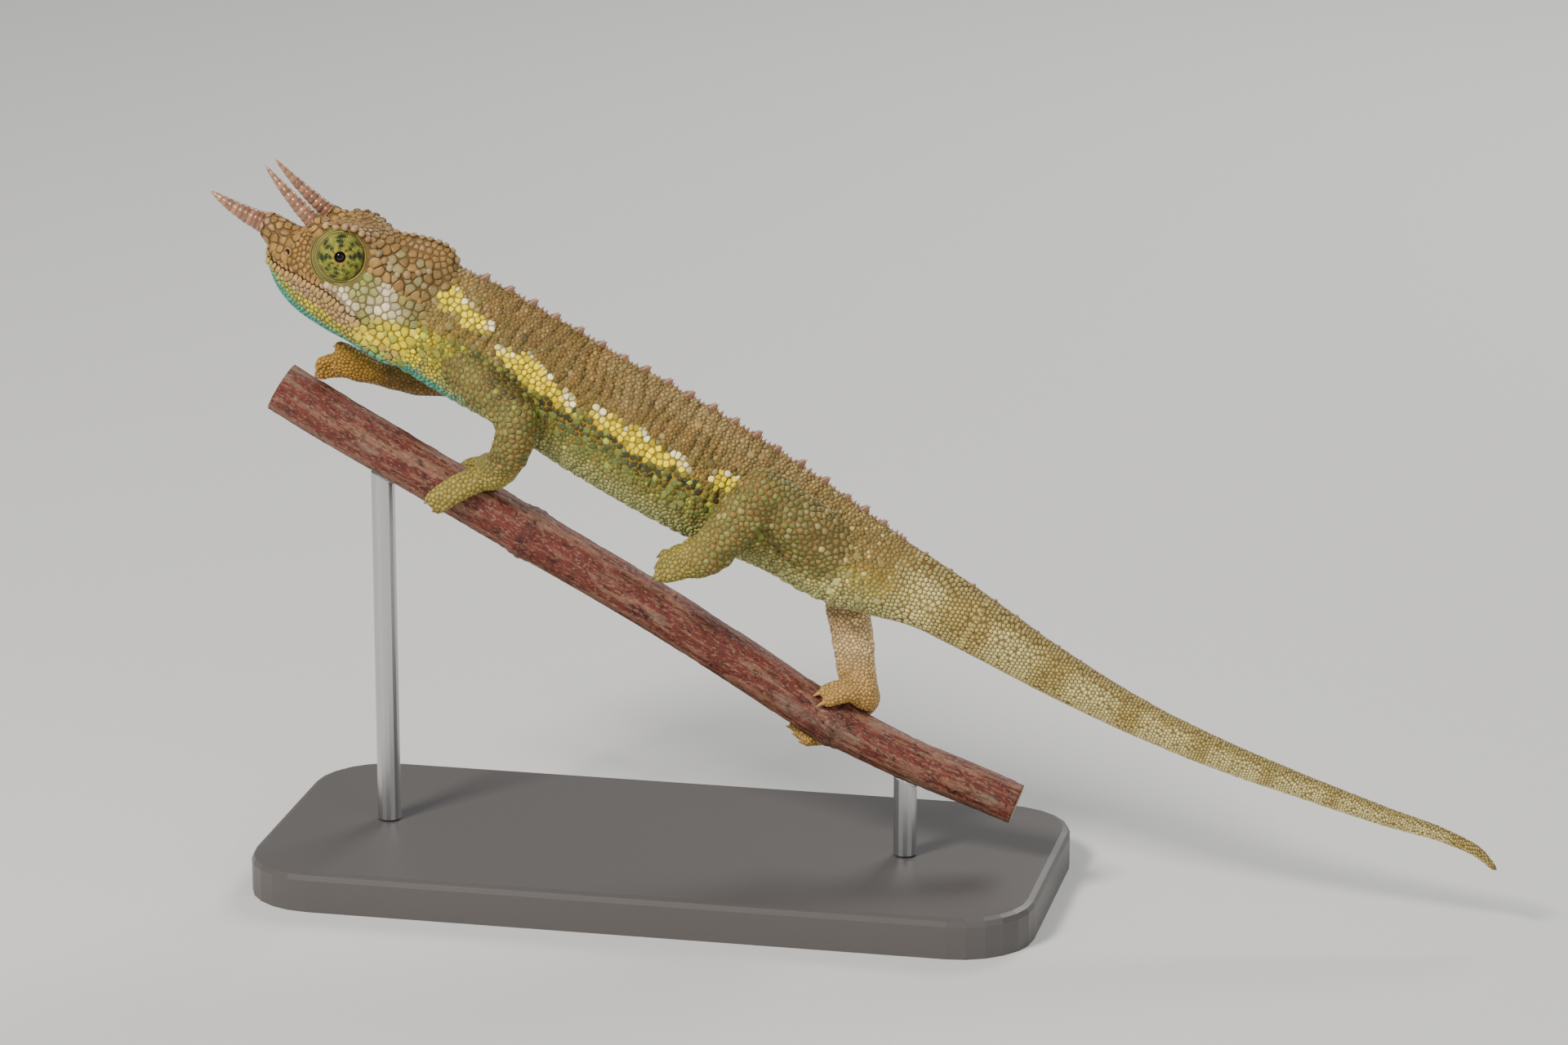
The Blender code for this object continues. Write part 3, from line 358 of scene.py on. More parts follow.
skinFinish = painted("skin", 0.16, 0.05, Roughness=0.62, Specular_IOR_Level=0.35)
scaleFinish = painted("scales", 0.22, 0.03, Roughness=0.42, Specular_IOR_Level=0.45)
spineFinish = painted("spines", 0.3, 0.03, Roughness=0.4, Specular_IOR_Level=0.5)
hornFinish = painted("horn", 0.5, 0.03, Roughness=0.3, Coat_Weight=0.35, Coat_Roughness=0.15)
clawFinish = painted("claws", 0.3, 0.01, Roughness=0.28, Coat_Weight=0.3)


def arraysOf(table):
    return {name: np.array(value) for name, value in table.items()}


# markings
tones = {
    "back": (0.185, 0.122, 0.032), "backPale": (0.36, 0.27, 0.11), "olive": (0.13, 0.105, 0.022),
    "yellow": (1.0, 0.77, 0.0), "cream": (1.0, 0.92, 0.62), "warmCream": (0.98, 0.80, 0.50),
    # dark: the colour of the dark flank scales, and also painted shade in the troughs of the skin's folds
    "dark": (0.028, 0.034, 0.012), "green": (0.15, 0.18, 0.035), "brightGreen": (0.36, 0.46, 0.05),
    "belly": (0.42, 0.42, 0.16), "turquoise": (0.050, 0.40, 0.27), "tan": (0.41, 0.220, 0.055),
    "casque": (0.31, 0.172, 0.044), "plate": (0.38, 0.33, 0.14), "tail": (0.50, 0.38, 0.11),
    "tailPale": (0.78, 0.67, 0.28), "limb": (0.20, 0.185, 0.045), "foot": (0.44, 0.38, 0.075),
    "peach": (0.80, 0.58, 0.30), "gold": (0.52, 0.27, 0.030), "jaw": (0.40, 0.36, 0.08),
    "jawTan": (0.48, 0.29, 0.115), "lip": (0.55, 0.31, 0.11), "pink": (0.78, 0.50, 0.36),
    "net": (0.34, 0.185, 0.042), "netYellow": (0.58, 0.33, 0.012), "hornFoot": (0.44, 0.235, 0.125),
    # slit: near black, painted shade laid in the mouth's groove
    "slit": (0.02, 0.010, 0.006), "crest": (0.42, 0.28, 0.17),
}
tones = arraysOf(tones)
# yellow patches of the flank: start and end along the body, their level at both ends, half height
flankPatches = ((-1.0, 10.6, 0.60, 0.42, 0.15), (12.6, 28.0, 0.27, 0.06, 0.15),
                (31.0, 49.0, 0.17, 0.13, 0.14), (52.4, 59.0, 0.24, 0.20, 0.14))
# where the pale patches of the tail start
tailPatches = (86.0, 103.5, 118.0, 131.0, 143.0, 154.0, 164.5, 174.0)


def blend(colours, *coats):
    # lays one tone after another over the colours, each under its own mask
    for mask, tone in coats:
        mask = np.clip(mask, 0, 1)[:, None]
        colours = colours * (1 - mask) + tone * mask
    return colours


def paintBody(points, chance):
    along, height = bodyPlace(points)
    level = height + 0.16 * (valueNoise(along / 2.2, height * 3 + 9, 21) - 0.5)
    cloud = valueNoise(along / 5, height * 2.2 + 5, 22)
    fine = valueNoise(along / 1.3 + 40, height * 5 + 20, 24)
    below = smoothstep(0.14, -0.06, level)
    darkBand = bump(level, -0.12, 0.17) * smoothstep(4, 8, along) * smoothstep(62, 56, along)
    rear = smoothstep(60, 76, along)
    colours = blend(tones["back"],
                    (smoothstep(0.50, 0.80, cloud) * 0.65, tones["backPale"]),
                    (smoothstep(0.62, 0.8, fine) * 0.4, tones["tan"] * 0.9),
                    (smoothstep(0.36, 0.2, fine) * 0.45, tones["olive"]),
                    ((chance > 0.86) * 0.6, tones["backPale"]),
                    (bump(level, 0.30, 0.20) * 0.5, tones["olive"]),
                    (below, tones["green"]),
                    (darkBand * (chance < 0.62), tones["dark"]),
                    (below * (chance > 0.90) * 0.8, tones["brightGreen"]),
                    (smoothstep(-0.35, -0.85, level) * 0.75, tones["belly"]),
                    (smoothstep(-0.2, -0.5, level) * (chance > 0.965) * 0.6, tones["belly"] * 1.6),
                    (rear * 0.6, tones["tail"] * 0.62),
                    (rear * smoothstep(0.3, -0.6, level) * 0.75, tones["belly"] * 1.2),
                    (rear * (chance > 0.93) * 0.7, tones["tailPale"] * 0.95))
    for start, end, first, last, half in flankPatches:
        share = (along - start) / (end - start)
        centre = first + (last - first) * share
        edge = half * (1 - 0.5 * np.clip(np.abs(share - 0.5) * 2, 0, 1) ** 3)
        inside = smoothstep(-0.02, 0.03, share) * smoothstep(1.02, 0.97, share)
        inside = inside * smoothstep(0.035, -0.02, np.abs(level - centre) - edge)
        ends = np.maximum(smoothstep(0.16, 0.02, share), smoothstep(0.82, 1.0, share))
        ends = np.maximum(ends * (centre < level + 0.03), (centre + edge * 0.55 < level) * (chance > 0.45))
        colours = blend(colours, (inside, tones["yellow"]), (inside * ends * 0.9, tones["cream"] * 1.05))
    shoulder = smoothstep(9, 1, along) * smoothstep(0.12, -0.1, level)
    shoulder = shoulder * (0.2 + 0.7 * (valueNoise(along / 1.6, height * 6, 23) > 0.42))
    fringe = smoothstep(14, 8, along) * smoothstep(-0.72, -0.86, level)
    colours = blend(colours,
                    (shoulder, tones["yellow"] * 0.95),
                    (shoulder * (chance > 0.84), tones["brightGreen"]),
                    (fringe, tones["turquoise"]))
    tail = blend(tones["tail"],
                 ((chance > 0.86) * 0.5, tones["belly"]),
                 ((chance < 0.10) * 0.5, tones["tan"] * 0.6),
                 (smoothstep(-0.2, -0.9, level) * 0.45, tones["tailPale"]))
    for start in tailPatches:
        patch = smoothstep(start - 1.2, start + 0.4, along) * smoothstep(start + 9.5, start + 7.5, along)
        wavy = level + 0.25 * (valueNoise(along * 1.1, height * 5, 25) - 0.5)
        patch = patch * smoothstep(0.85, 0.45, wavy)
        tail = blend(tail, (patch * (0.6 + 0.3 * (chance > 0.3)), tones["tailPale"]))
    tail = blend(tail, (smoothstep(0.5, 0.95, level) * 0.4, tones["tail"] * 0.6))
    tailness = smoothstep(82, 92, along)[:, None]
    return colours * (1 - tailness) + tail * tailness


headSpots = (
    # middle u and v, reach along and across, slope of the spot, colour, how full it is
    (16.6, 3.8, 2.7, 1.4, -0.22, "warmCream", 1.0), (21.0, 8.7, 1.8, 1.2, 0.0, "warmCream", 0.95),
    (22.6, 6.3, 2.9, 1.8, 0.10, "warmCream", 1.0), (12.6, 3.2, 1.7, 0.7, 0.0, "pink", 0.9),
    (18.4, 6.9, 1.9, 1.6, 0.3, "belly", 0.6), (17.0, 8.3, 1.5, 0.9, 0.2, "brightGreen", 0.4),
    (27.4, 3.4, 5.0, 2.4, -0.05, "yellow", 1.0), (22.4, 0.9, 3.2, 1.2, 0.1, "yellow", 0.9),
)


mouth = {
    # level of the mouth's line and of the jaw's lower edge, by the distance from the snout
    "line": ((0.7, 2, 4, 6.5, 9, 12, 15, 18, 21), (0, 0.2, 0.55, 1.2, 1.85, 2.45, 2.7, 2.3, 1.9)),
    "edge": ((0, 2, 5, 9, 14, 18, 24, 31), (-0.4, -1.1, -2.1, -2.8, -2.6, -2.2, -1.5, -1.0)),
    "end": 20.6,
}


def mouthLevel(u):
    return np.interp(u, *mouth["line"])


def paintHead(points, chance):
    u, v, w = headPlace(points).T
    cloud = valueNoise(u / 2.0 + 3, v / 2.0 + 7, 31)
    panel = smoothstep(15, 17, u) * smoothstep(10.5, 11.8, v) * smoothstep(2.0, 3.0, np.abs(w))
    cheek = smoothstep(10, 13, u) * smoothstep(10.2, 8.6, v) * smoothstep(1.0, 2.4, v)
    below = mouthLevel(u) - v
    jaw = smoothstep(0.3, 1.2, below) * smoothstep(-1, 2, u)
    edge = np.interp(u, *mouth["edge"])
    share = (v - edge) / np.maximum(mouthLevel(u) - edge, 0.5)
    low = jaw * smoothstep(0.52, 0.30, share) * (chance > 0.55)
    upper = jaw * smoothstep(0.30, 0.48, share) * smoothstep(2.0, 4.5, u)
    colours = blend(tones["tan"],
                    (smoothstep(10, 13, v + 0.12 * (u - 14)), tones["casque"]),
                    (smoothstep(0.5, 0.8, cloud) * 0.45, tones["casque"] * 0.8),
                    (panel * (chance > 0.5) * 0.7, tones["plate"]),
                    (cheek * 0.7, tones["green"] * 1.5),
                    (cheek * (chance > 0.6) * 0.8, tones["belly"] * 0.9),
                    (jaw * 0.85, tones["jaw"]),
                    (upper * 0.85, tones["jawTan"]),
                    (upper * (chance > 0.7) * 0.5, tones["pink"] * 0.8),
                    (smoothstep(0.9, 0.2, np.abs(below)) * 0.6, tones["lip"]),
                    (low, tones["yellow"] * 0.8))
    for spotU, spotV, reachU, reachV, slope, tone, full in headSpots:
        offU, offV = u - spotU, v - spotV - slope * (u - spotU)
        spot = np.exp(-((offU / reachU) ** 2 + (offV / reachV) ** 2) ** 2)
        colours = blend(colours, (spot * full * (0.55 + 0.45 * (chance > 0.12)), tones[tone]))
    throat = smoothstep(22, 25, u) * smoothstep(4.6, 3.2, v)
    fringe = smoothstep(edge + 0.4, edge - 0.3, v) * smoothstep(1.5, 3.5, u)
    overFringe = smoothstep(edge + 1.7, edge + 0.6, v) * 0.8 * (chance > 0.3)
    hornFoot = smoothstep(-1.0, -2.6, u) * smoothstep(1.0, 2.0, v)
    back = smoothstep(24.5, 27.5, u) * smoothstep(6, 8, v)
    return blend(colours,
                 (throat * (chance > 0.85) * 0.8, tones["brightGreen"] * 1.3),
                 (overFringe, tones["brightGreen"]),
                 (fringe, tones["turquoise"]),
                 (hornFoot * 0.7, tones["hornFoot"]),
                 (back * 0.7, tones["back"] * 1.2))


def paintLimb(points, normals, chance, label):
    x, z = points[:, 0], points[:, 2]
    if label == "legRight":
        return blend(tones["peach"],
                     ((chance < 0.2) * 0.35, tones["tan"]),
                     (smoothstep(-22, -27, z) * 0.75, tones["gold"]))
    if label == "armRight":
        inner = smoothstep(-0.1, 0.5, -normals[:, 1]) * smoothstep(-66, -70, x)
        return blend(tones["tan"] * 0.80,
                     ((chance > 0.62) * 0.5, tones["limb"] * 1.3),
                     ((chance < 0.22) * 0.5, tones["tan"] * 0.5),
                     (inner * 0.8, tones["gold"] * 1.2))
    colours = blend(tones["limb"],
                    ((chance > 0.55) * 0.45, tones["green"] * 1.1),
                    ((chance < 0.22) * 0.5, tones["tan"] * 0.85))
    if label == "legLeft":
        return blend(colours,
                     ((chance > 0.85) * 0.5, tones["belly"]),
                     (smoothstep(6, 14, x) * 0.6, tones["belly"]),
                     (smoothstep(-8, -14, x) * 0.6, tones["foot"]))
    return blend(colours, (smoothstep(10, 4, z) * 0.8, tones["foot"]))


def paintNet(points, labels, colours):
    # the skin that shows between the scales, and the rim of each scale
    along, height = bodyPlace(points)
    trunk = (labels == 1) * smoothstep(100, 88, along)
    net = blend(tones["net"],
                (trunk * bump(height, -0.08, 0.34), tones["netYellow"]),
                (trunk * smoothstep(-0.45, -0.9, height) * 0.8, tones["belly"] * 0.6))
    share = np.where(labels == 0, 0.35, 0.72)
    vivid = (colours.max(axis=1) - colours.min(axis=1) > 0.30) & (labels <= 1)
    return colours * (0.9 - share)[:, None] + net * np.where(vivid, share * 0.5, share)[:, None]


labelNames = ("head", "trunk", "armLeft", "armRight", "legLeft", "legRight")


def joining(points, label):
    # how far a limb's place is into its joint with the body
    if label == "legLeft":
        return smoothstep(1, 11, points[:, 0])
    if label == "legRight":
        return smoothstep(-12, -7, points[:, 2])
    return smoothstep(-50, -44, points[:, 0]) * smoothstep(14, 20, points[:, 2])


def paintAll(points, normals, labels, chance):
    colours = np.empty((len(points), 3))
    for index, label in enumerate(labelNames):
        here = labels == index
        if label == "head":
            colours[here] = paintHead(points[here], chance[here])
        else:
            colours[here] = paintBody(points[here], chance[here])
        if index > 1:
            limb = paintLimb(points[here], normals[here], chance[here], label)
            share = joining(points[here], label)[:, None] * 0.75
            colours[here] = limb * (1 - share) + colours[here] * share
    return colours


# skin: one surface over the nodes of flesh
skinSizes = {"voxel": 0.40, "swell": 0.20, "sink": 0.12, "samples": 5,
             "rounds": 16, "headRounds": 5, "footRounds": 7, "smoothing": 0.52,
             "folds": 0.34, "tailRings": 0.05, "creases": 0.26, "slit": 0.32}
# which part of the animal each node of flesh belongs to, by the start of its name: see labelNames
fleshStarts = {"head": 0, "neck": 1, "chest": 1, "belly": 1, "pelvis": 1, "tail": 1,
               "arm_left": 2, "hand_left": 2, "arm_right": 3, "hand_right": 3,
               "leg_left": 4, "foot_left": 4, "leg_right": 5, "foot_right": 5}
flesh = {name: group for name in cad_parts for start, group in fleshStarts.items()
         if name.startswith(start)}
# a vertex is a tip where the angles of its faces add up to less than this
tipLimits = {"head": 3.4, "toes": 2.5, "others": 4.4}


def sharpTips(points, tris, limit):
    # vertices where the faces close to a point, and the way each one points
    total = np.zeros(len(points))
    for corner in range(3):
        a, b, c = (points[tris[:, (corner + k) % 3]] for k in range(3))
        cosine = (unit(b - a) * unit(c - a)).sum(axis=1)
        np.add.at(total, tris[:, corner], np.arccos(np.clip(cosine, -1, 1)))
    tips = []
    for index in np.nonzero(total < limit)[0]:
        touching = tris[(tris == index).any(axis=1)]
        ring = [i for i in np.unique(touching) if i != index]
        if len(ring) >= 5:
            tips.append((points[index], unit(points[index] - points[ring].mean(axis=0)), index, ring))
    return tips


tipsOf = {}
skinPoints, skinTris, samples, sampleLabels, sampleFeet = [], [], [], [], []
offset = 0
for name, group in flesh.items():
    points, tris = cadArrays(name)
    limit = tipLimits["head" if name == "head" else "toes" if "toes" in name else "others"]
    tipsOf[name] = sharpTips(points, tris, limit)
    corners = points[tris]
    pick, share = areaPicks(corners, skinSizes["samples"])
    samples.append((corners[pick] * share).sum(axis=1))
    sampleLabels.append(np.full(len(pick), group))
    sampleFeet.append(np.full(len(pick), float("toes" in name or "palm" in name)))
    for _, _, index, ring in tipsOf[name]:
        points[index] = points[ring].mean(axis=0)
    points = points + vertexNormals(points, tris) * skinSizes["swell"]
    skinPoints.append(points)
    skinTris.append(tris + offset)
    offset += len(points)
print("flesh gathered:", len(flesh), "nodes,", sum(len(t) for t in tipsOf.values()), "tips")

raw = fillMesh("raw", np.concatenate(skinPoints) * mm, np.concatenate(skinTris))
rawObject = addObject("raw", raw)
cover = rawObject.modifiers.new("cover", "REMESH")
cover.mode, cover.voxel_size = "VOXEL", skinSizes["voxel"] * mm
whole = bpy.data.meshes.new_from_object(rawObject.evaluated_get(bpy.context.evaluated_depsgraph_get()))
bpy.data.objects.remove(rawObject)
skin = read(whole.vertices, "co", 3) / mm
quads = read(whole.loops, "vertex_index", 1, int).reshape(-1, 4)
edges = read(whole.edges, "vertices", 2, int)
print("skin covered:", len(quads), "quads")

sampleTree = treeOf(np.concatenate(samples))
nearest = np.array([sampleTree.find(p)[1] for p in skin])
skinLabels = np.concatenate(sampleLabels)[nearest]
onFoot = np.concatenate(sampleFeet)[nearest]
valence = np.bincount(edges.ravel(), minlength=len(skin))[:, None]


def relax(points, weight):
    total = np.zeros_like(points)
    np.add.at(total, edges[:, 0], points[edges[:, 1]])
    np.add.at(total, edges[:, 1], points[edges[:, 0]])
    return points + (total / valence - points) * weight[:, None]


rounds = np.where(skinLabels == 0, skinSizes["headRounds"], skinSizes["rounds"])
rounds = np.where(onFoot > 0, skinSizes["footRounds"], rounds)
for turn in range(skinSizes["rounds"]):
    skin = relax(skin, skinSizes["smoothing"] * (rounds > turn))
quadTris = np.concatenate([quads[:, (0, 1, 2)], quads[:, (0, 2, 3)]])
skinNormals = vertexNormals(skin, quadTris)
skinAlong, skinHeight = bodyPlace(skin)
skinU, skinV, _ = headPlace(skin).T
onTrunk = (skinLabels == 1) * smoothstep(86, 78, skinAlong)
drift = 2.2 * valueNoise(skinAlong / 7, skinHeight * 2 + 3, 41) + 0.5 * skinHeight
wrinkle = np.abs(np.sin((skinAlong / 1.9 + drift) * math.pi)) ** 0.6
folds = (wrinkle - 0.6) * skinSizes["folds"] * (0.3 + valueNoise(skinAlong / 4, skinHeight * 3, 42)) * onTrunk
tailRings = np.abs(np.sin(skinAlong * math.pi / 1.15)) ** 0.5 * skinSizes["tailRings"]
tailRings = tailRings * (skinLabels == 1) * (skinAlong > 86)
creases = (valueNoise(skin[:, 2] / 0.75 + 30, skin[:, 0] / 3.5 + 60, 43) - 0.5) * skinSizes["creases"]
creases = creases * (skinLabels >= 2) * (onFoot < 0.5)
mouthGap = np.abs(skinV - mouthLevel(skinU))
onMouth = smoothstep(mouth["end"], mouth["end"] - 0.6, skinU) * smoothstep(-0.4, 0.4, skinU)
onMouth = onMouth * (skinLabels == 0)
slit = smoothstep(0.42, 0.12, mouthGap) * onMouth
relief = folds + tailRings + creases - skinSizes["slit"] * slit - skinSizes["sink"]
skin = skin + skinNormals * relief[:, None]
skinNormals = vertexNormals(skin, quadTris)


def unwrap(points, faces):
    # a smart unwrap of the skin's own shape, one place for each corner
    mesh = bpy.data.meshes.new("unwrap")
    mesh.from_pydata([tuple(p) for p in points], [], [tuple(f) for f in faces.tolist()])
    mesh.uv_layers.new(name="OFBake")
    piece = addObject("unwrap", mesh)
    bpy.context.view_layer.objects.active = piece
    piece.select_set(True)
    bpy.ops.object.mode_set(mode="EDIT")
    bpy.ops.mesh.select_all(action="SELECT")
    bpy.ops.uv.smart_project(angle_limit=math.radians(75), island_margin=0.002)
    bpy.ops.object.mode_set(mode="OBJECT")
    uv = read(mesh.uv_layers["OFBake"].data, "uv", 2)
    bpy.data.objects.remove(piece)
    return uv


skinUv = unwrap(skin, quads)
print("skin unwrapped")

gapTones = paintAll(skin, skinNormals, skinLabels, np.full(len(skin), 0.3))
gapTones = paintNet(skin, skinLabels, gapTones)
gapTones = np.where((skinLabels == 0)[:, None], gapTones * 0.6, gapTones)
# painted shade: the skin darker in the troughs of its folds, and near black in the mouth's groove
gapTones = blend(gapTones, ((folds < -0.04) * 0.25, tones["dark"]), (slit, tones["slit"]))
skinPiece = makePiece("skin", skin, quads, skinFinish, gapTones, skinUv)
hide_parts(*flesh)


# scales: closed domes that fill their cells of a packing over the skin
scaleSizes = {"candidates": 32.0, "fill": 0.96, "darkFill": 0.90, "sink": 0.08, "neighbours": 15,
              "corners": 11, "crowding": 0.46, "patch": 0.0015, "plateFrom": 0.80,
              "flank": 0.57, "limb": 0.80, "head": 0.80, "tailFrom": 86.0}
skinTree = treeOf(skin)


def spacing(points, labels, chance):
    # how far apart the scales' middles are
    along, height = bodyPlace(points)
    trunk, head, limb = labels == 1, labels == 0, labels >= 2
    lower = trunk & (height < 0.1)
    yellow = np.zeros(len(points), bool)
    for start, end, first, last, half in flankPatches:
        share = (along - start) / (end - start)
        yellow |= (share > 0) & (share < 1) & (np.abs(height - first - (last - first) * share) < half)
    u, v, w = headPlace(points).T
    hand = ((labels == 2) & (points[:, 2] < 9)) | ((labels == 4) & (points[:, 0] < -9))
    size = np.full(len(points), scaleSizes["flank"])
    for here, value in (
            (lower, 0.62),
            (trunk & (np.abs(height + 0.10) < 0.16) & (along > 5) & (along < 60), 0.76),
            (trunk & (chance < 0.0010), 0.90),
            (trunk & (chance >= 0.0010) & (chance < 0.010), 0.74),
            (lower & (height > -0.45) & (chance < 0.02) & (along < 58), 0.88),
            (trunk & (height < -0.62), 0.58),
            (trunk & yellow, 0.86),
            (head, scaleSizes["head"]),
            (head & (v > 9.5) & (u < 9), 1.2),
            (head & (v > 12) & (u >= 9), 0.95),
            (head & (u > 14) & (v > 10.5) & (np.abs(w) > 2.2), np.where(chance < 0.35, 1.5, 0.95)),
            (head & (u > 13) & (v > 3.0) & (v < 9.5), np.where(chance < 0.35, 1.35, 0.85)),
            (head & (u < 3.5) & (v > 1.6), 1.25),
            (head & (v < mouthLevel(u) - 1.2), 0.66),
            (head & (v < -2.5), 0.56),
            (head & (u > 21) & (v < 4), np.where(chance < 0.16, 1.1, 0.66)),
            (limb, np.where(chance < 0.25, 0.98, scaleSizes["limb"])),
            (hand, np.where(chance < 0.2, 0.72, 0.60)),
            ((labels == 3) | (labels == 5), np.where(chance < 0.2, 0.56, 0.46))):
        size = np.where(here, value, size)
    return size


def settled(points):
    # the nearest places on the skin, with the way it faces there and the skin's own vertex
    near = np.array([skinTree.find(p)[1] for p in points])
    out = skinNormals[near]
    drop = ((points - skin[near]) * out).sum(axis=1, keepdims=True)
    return points - out * drop, out, near


def scatter(points, normals, labels, tris, density):
    pick, share = areaPicks(points[tris], density)
    where = (points[tris[pick]] * share).sum(axis=1)
    facing = unit((normals[tris[pick]] * share).sum(axis=1))
    return where, facing, labels[tris[pick, 0]], pick


def pack(where, sizes, order):
    # keeps a point and drops all that crowd it, in the order given
    tree = treeOf(where)
    dropped = np.zeros(len(where), bool)
    kept = []
    largest = sizes.max()
    for i in order:
        if dropped[i]:
            continue
        kept.append(i)
        for _, j, distance in tree.find_range(where[i], (sizes[i] + largest) / 2):
            if distance < (sizes[i] + sizes[j]) * scaleSizes["crowding"]:
                dropped[j] = True
    return np.array(kept)


def cells(where, facing, sizes, sides):
    # the reach of each cell in every direction
    tree = treeOf(where)
    near = np.array([[j for _, j, _ in tree.find_n(p, scaleSizes["neighbours"])] for p in where])[:, 1:]
    helper = np.where(np.abs(facing[:, 1:2]) < 0.9, [[0.0, 1.0, 0.0]], [[1.0, 0.0, 0.0]])
    across = unit(np.cross(facing, helper))
    beside = np.cross(facing, across)
    away = where[near] - where[:, None, :]
    flatX = (away * across[:, None, :]).sum(axis=2)
    flatY = (away * beside[:, None, :]).sum(axis=2)
    distance = np.maximum(np.hypot(flatX, flatY), 1e-6)
    wall = distance * sizes[:, None] / (sizes[:, None] + sizes[near])
    power = scaleSizes["corners"]
    angles = anglesOf(sides)
    reach = np.empty((len(where), sides))
    for k, angle in enumerate(angles):
        cosine = (flatX * math.cos(angle) + flatY * math.sin(angle)) / distance
        press = np.maximum(cosine, 0) / wall
        press = (press ** power).sum(axis=1) + (1 / (sizes * 0.86)) ** power
        reach[:, k] = press ** (-1 / power)
    return across, beside, angles, reach


def domes(where, facing, sizes, sides, rings, rise, fill):
    # rings: share of the reach and share of the height
    across, beside, angles, reach = cells(where, facing, sizes, sides)
    reach = reach * fill[:, None]
    mean = reach.mean(axis=1)
    rise = mean * rise
    spokes = (across[:, None, :] * np.cos(angles)[None, :, None]
              + beside[:, None, :] * np.sin(angles)[None, :, None])
    layers = []
    for share, level in rings:
        lift = rise * level if level > 0 else -scaleSizes["sink"] * np.ones(len(where))
        layers.append(where[:, None, :] + spokes * (reach * share)[:, :, None]
                      + facing[:, None, :] * lift[:, None, None])
    crown = (where + facing * rise[:, None])[:, None, :]
    foot = (where - facing * (scaleSizes["sink"] + 0.05))[:, None, :]
    points = np.concatenate(layers + [crown, foot], axis=1)
    each = points.shape[1]
    pattern = []
    for ring in range(len(rings) - 1):
        for k in range(sides):
            a, b = ring * sides + k, ring * sides + (k + 1) % sides
            pattern += [(a, b, b + sides), (a, b + sides, a + sides)]
    last = (len(rings) - 1) * sides
    for k in range(sides):
        pattern.append((last + k, last + (k + 1) % sides, each - 2))
        pattern.append(((k + 1) % sides, k, each - 1))
    faces = (np.arange(len(where))[:, None, None] * each + np.array(pattern)[None]).reshape(-1, 3)
    return points, faces, each


def layScales(name, where, facing, sizes, colours, rims, uvRoots, finish, sides, rings, rise, fill):
    points, faces, each = domes(where, facing, sizes, sides, rings, rise, fill)
    tint = np.repeat(colours[:, None, :], each, axis=1)
    # the foot ring takes the rim colour, a little darker as painted shade at the foot of each dome
    tint[:, :sides] = rims[:, None, :] * 0.9
    tint[:, sides:2 * sides] = tint[:, sides:2 * sides] * 0.88 + rims[:, None, :] * 0.12
    # painted highlight: the crown of each dome a little lighter
    tint[:, -2] *= 1.12
    tint = tint.reshape(-1, 3)
    spoke = np.column_stack([np.cos(anglesOf(sides)), np.sin(anglesOf(sides))]) * scaleSizes["patch"]
    flat = np.repeat(uvRoots[:, None, :], each, axis=1)
    for ring, (reachShare, _) in enumerate(rings):
        flat[:, ring * sides:(ring + 1) * sides] += spoke[None] * reachShare
    uv = flat.reshape(-1, 2)[faces.ravel()]
    return makePiece(name, points.reshape(-1, 3), faces, finish, tint, uv)


nostrilSizes = {
    "place": (4.1, 3.3, -2.6), "radius": 0.80, "sides": 24,
    # radius and height of the ring, out from the skin, in shares of the radius, and how light it is: a
    # painted highlight on the crest, painted shade at its foot and in the pit
    "profile": ((0.9, -0.6, 0.7), (1.05, -0.1, 0.8), (1.0, 0.24, 1.0), (0.84, 0.42, 1.10), (0.66, 0.40, 0.7),
                (0.58, 0.20, 0.10), (0.50, 0.14, 0.02), (0.02, 0.13, 0.02)),
}
# the room left round an eye's turret: radius, more on the rear low side, more for a larger scale
turretRoom = {"radius": 4.58, "widening": 0.42, "perSize": 0.40, "below": -1.5}
tailRows = {"first": 86.3, "size": 0.30, "perHeight": 0.040, "least": 0.36, "most": 0.70, "jitter": 0.06,
            "step": 0.96, "end": 0.5}
lipRows = {"clear": 0.85, "away": 0.44, "start": 0.4, "end": 20.2, "step": 0.84, "size": 0.90,
           "frontAcross": (-1.1, -0.37, 0.37, 1.1), "frontSize": 0.78,
           "width": ((0.0, 2, 4, 6.5, 9, 12, 15, 18, 21), (1.6, 2.8, 3.6, 4.3, 4.9, 5.6, 6.2, 6.6, 6.5))}
# a collar of scales round the foot of each horn: its middle, radius and count
collars = (((-2.9, 3.5, 0.0), 2.15, 13), ((4.2, 10.1, -3.3), 1.75, 10), ((4.2, 10.1, 3.3), 1.75, 10))
cornerUv = np.zeros((len(skin), 2))
cornerUv[quads.ravel()] = skinUv
spots, outs, marks, picked = scatter(skin, skinNormals, skinLabels, quadTris, scaleSizes["candidates"])
chance = rng.random(len(spots))
sizes = spacing(spots, marks, chance)
spotAlong, _ = bodyPlace(spots)
spotU, spotV, _ = headPlace(spots).T
free = ~((marks == 1) & (spotAlong > scaleSizes["tailFrom"]))
free &= ~((marks == 0) & (spotU < mouth["end"]) & (np.abs(spotV - mouthLevel(spotU)) < lipRows["clear"]))
rearLow = unit(headBack * 0.8 - headUp * 0.6)  # the side where the turret's folds reach further out
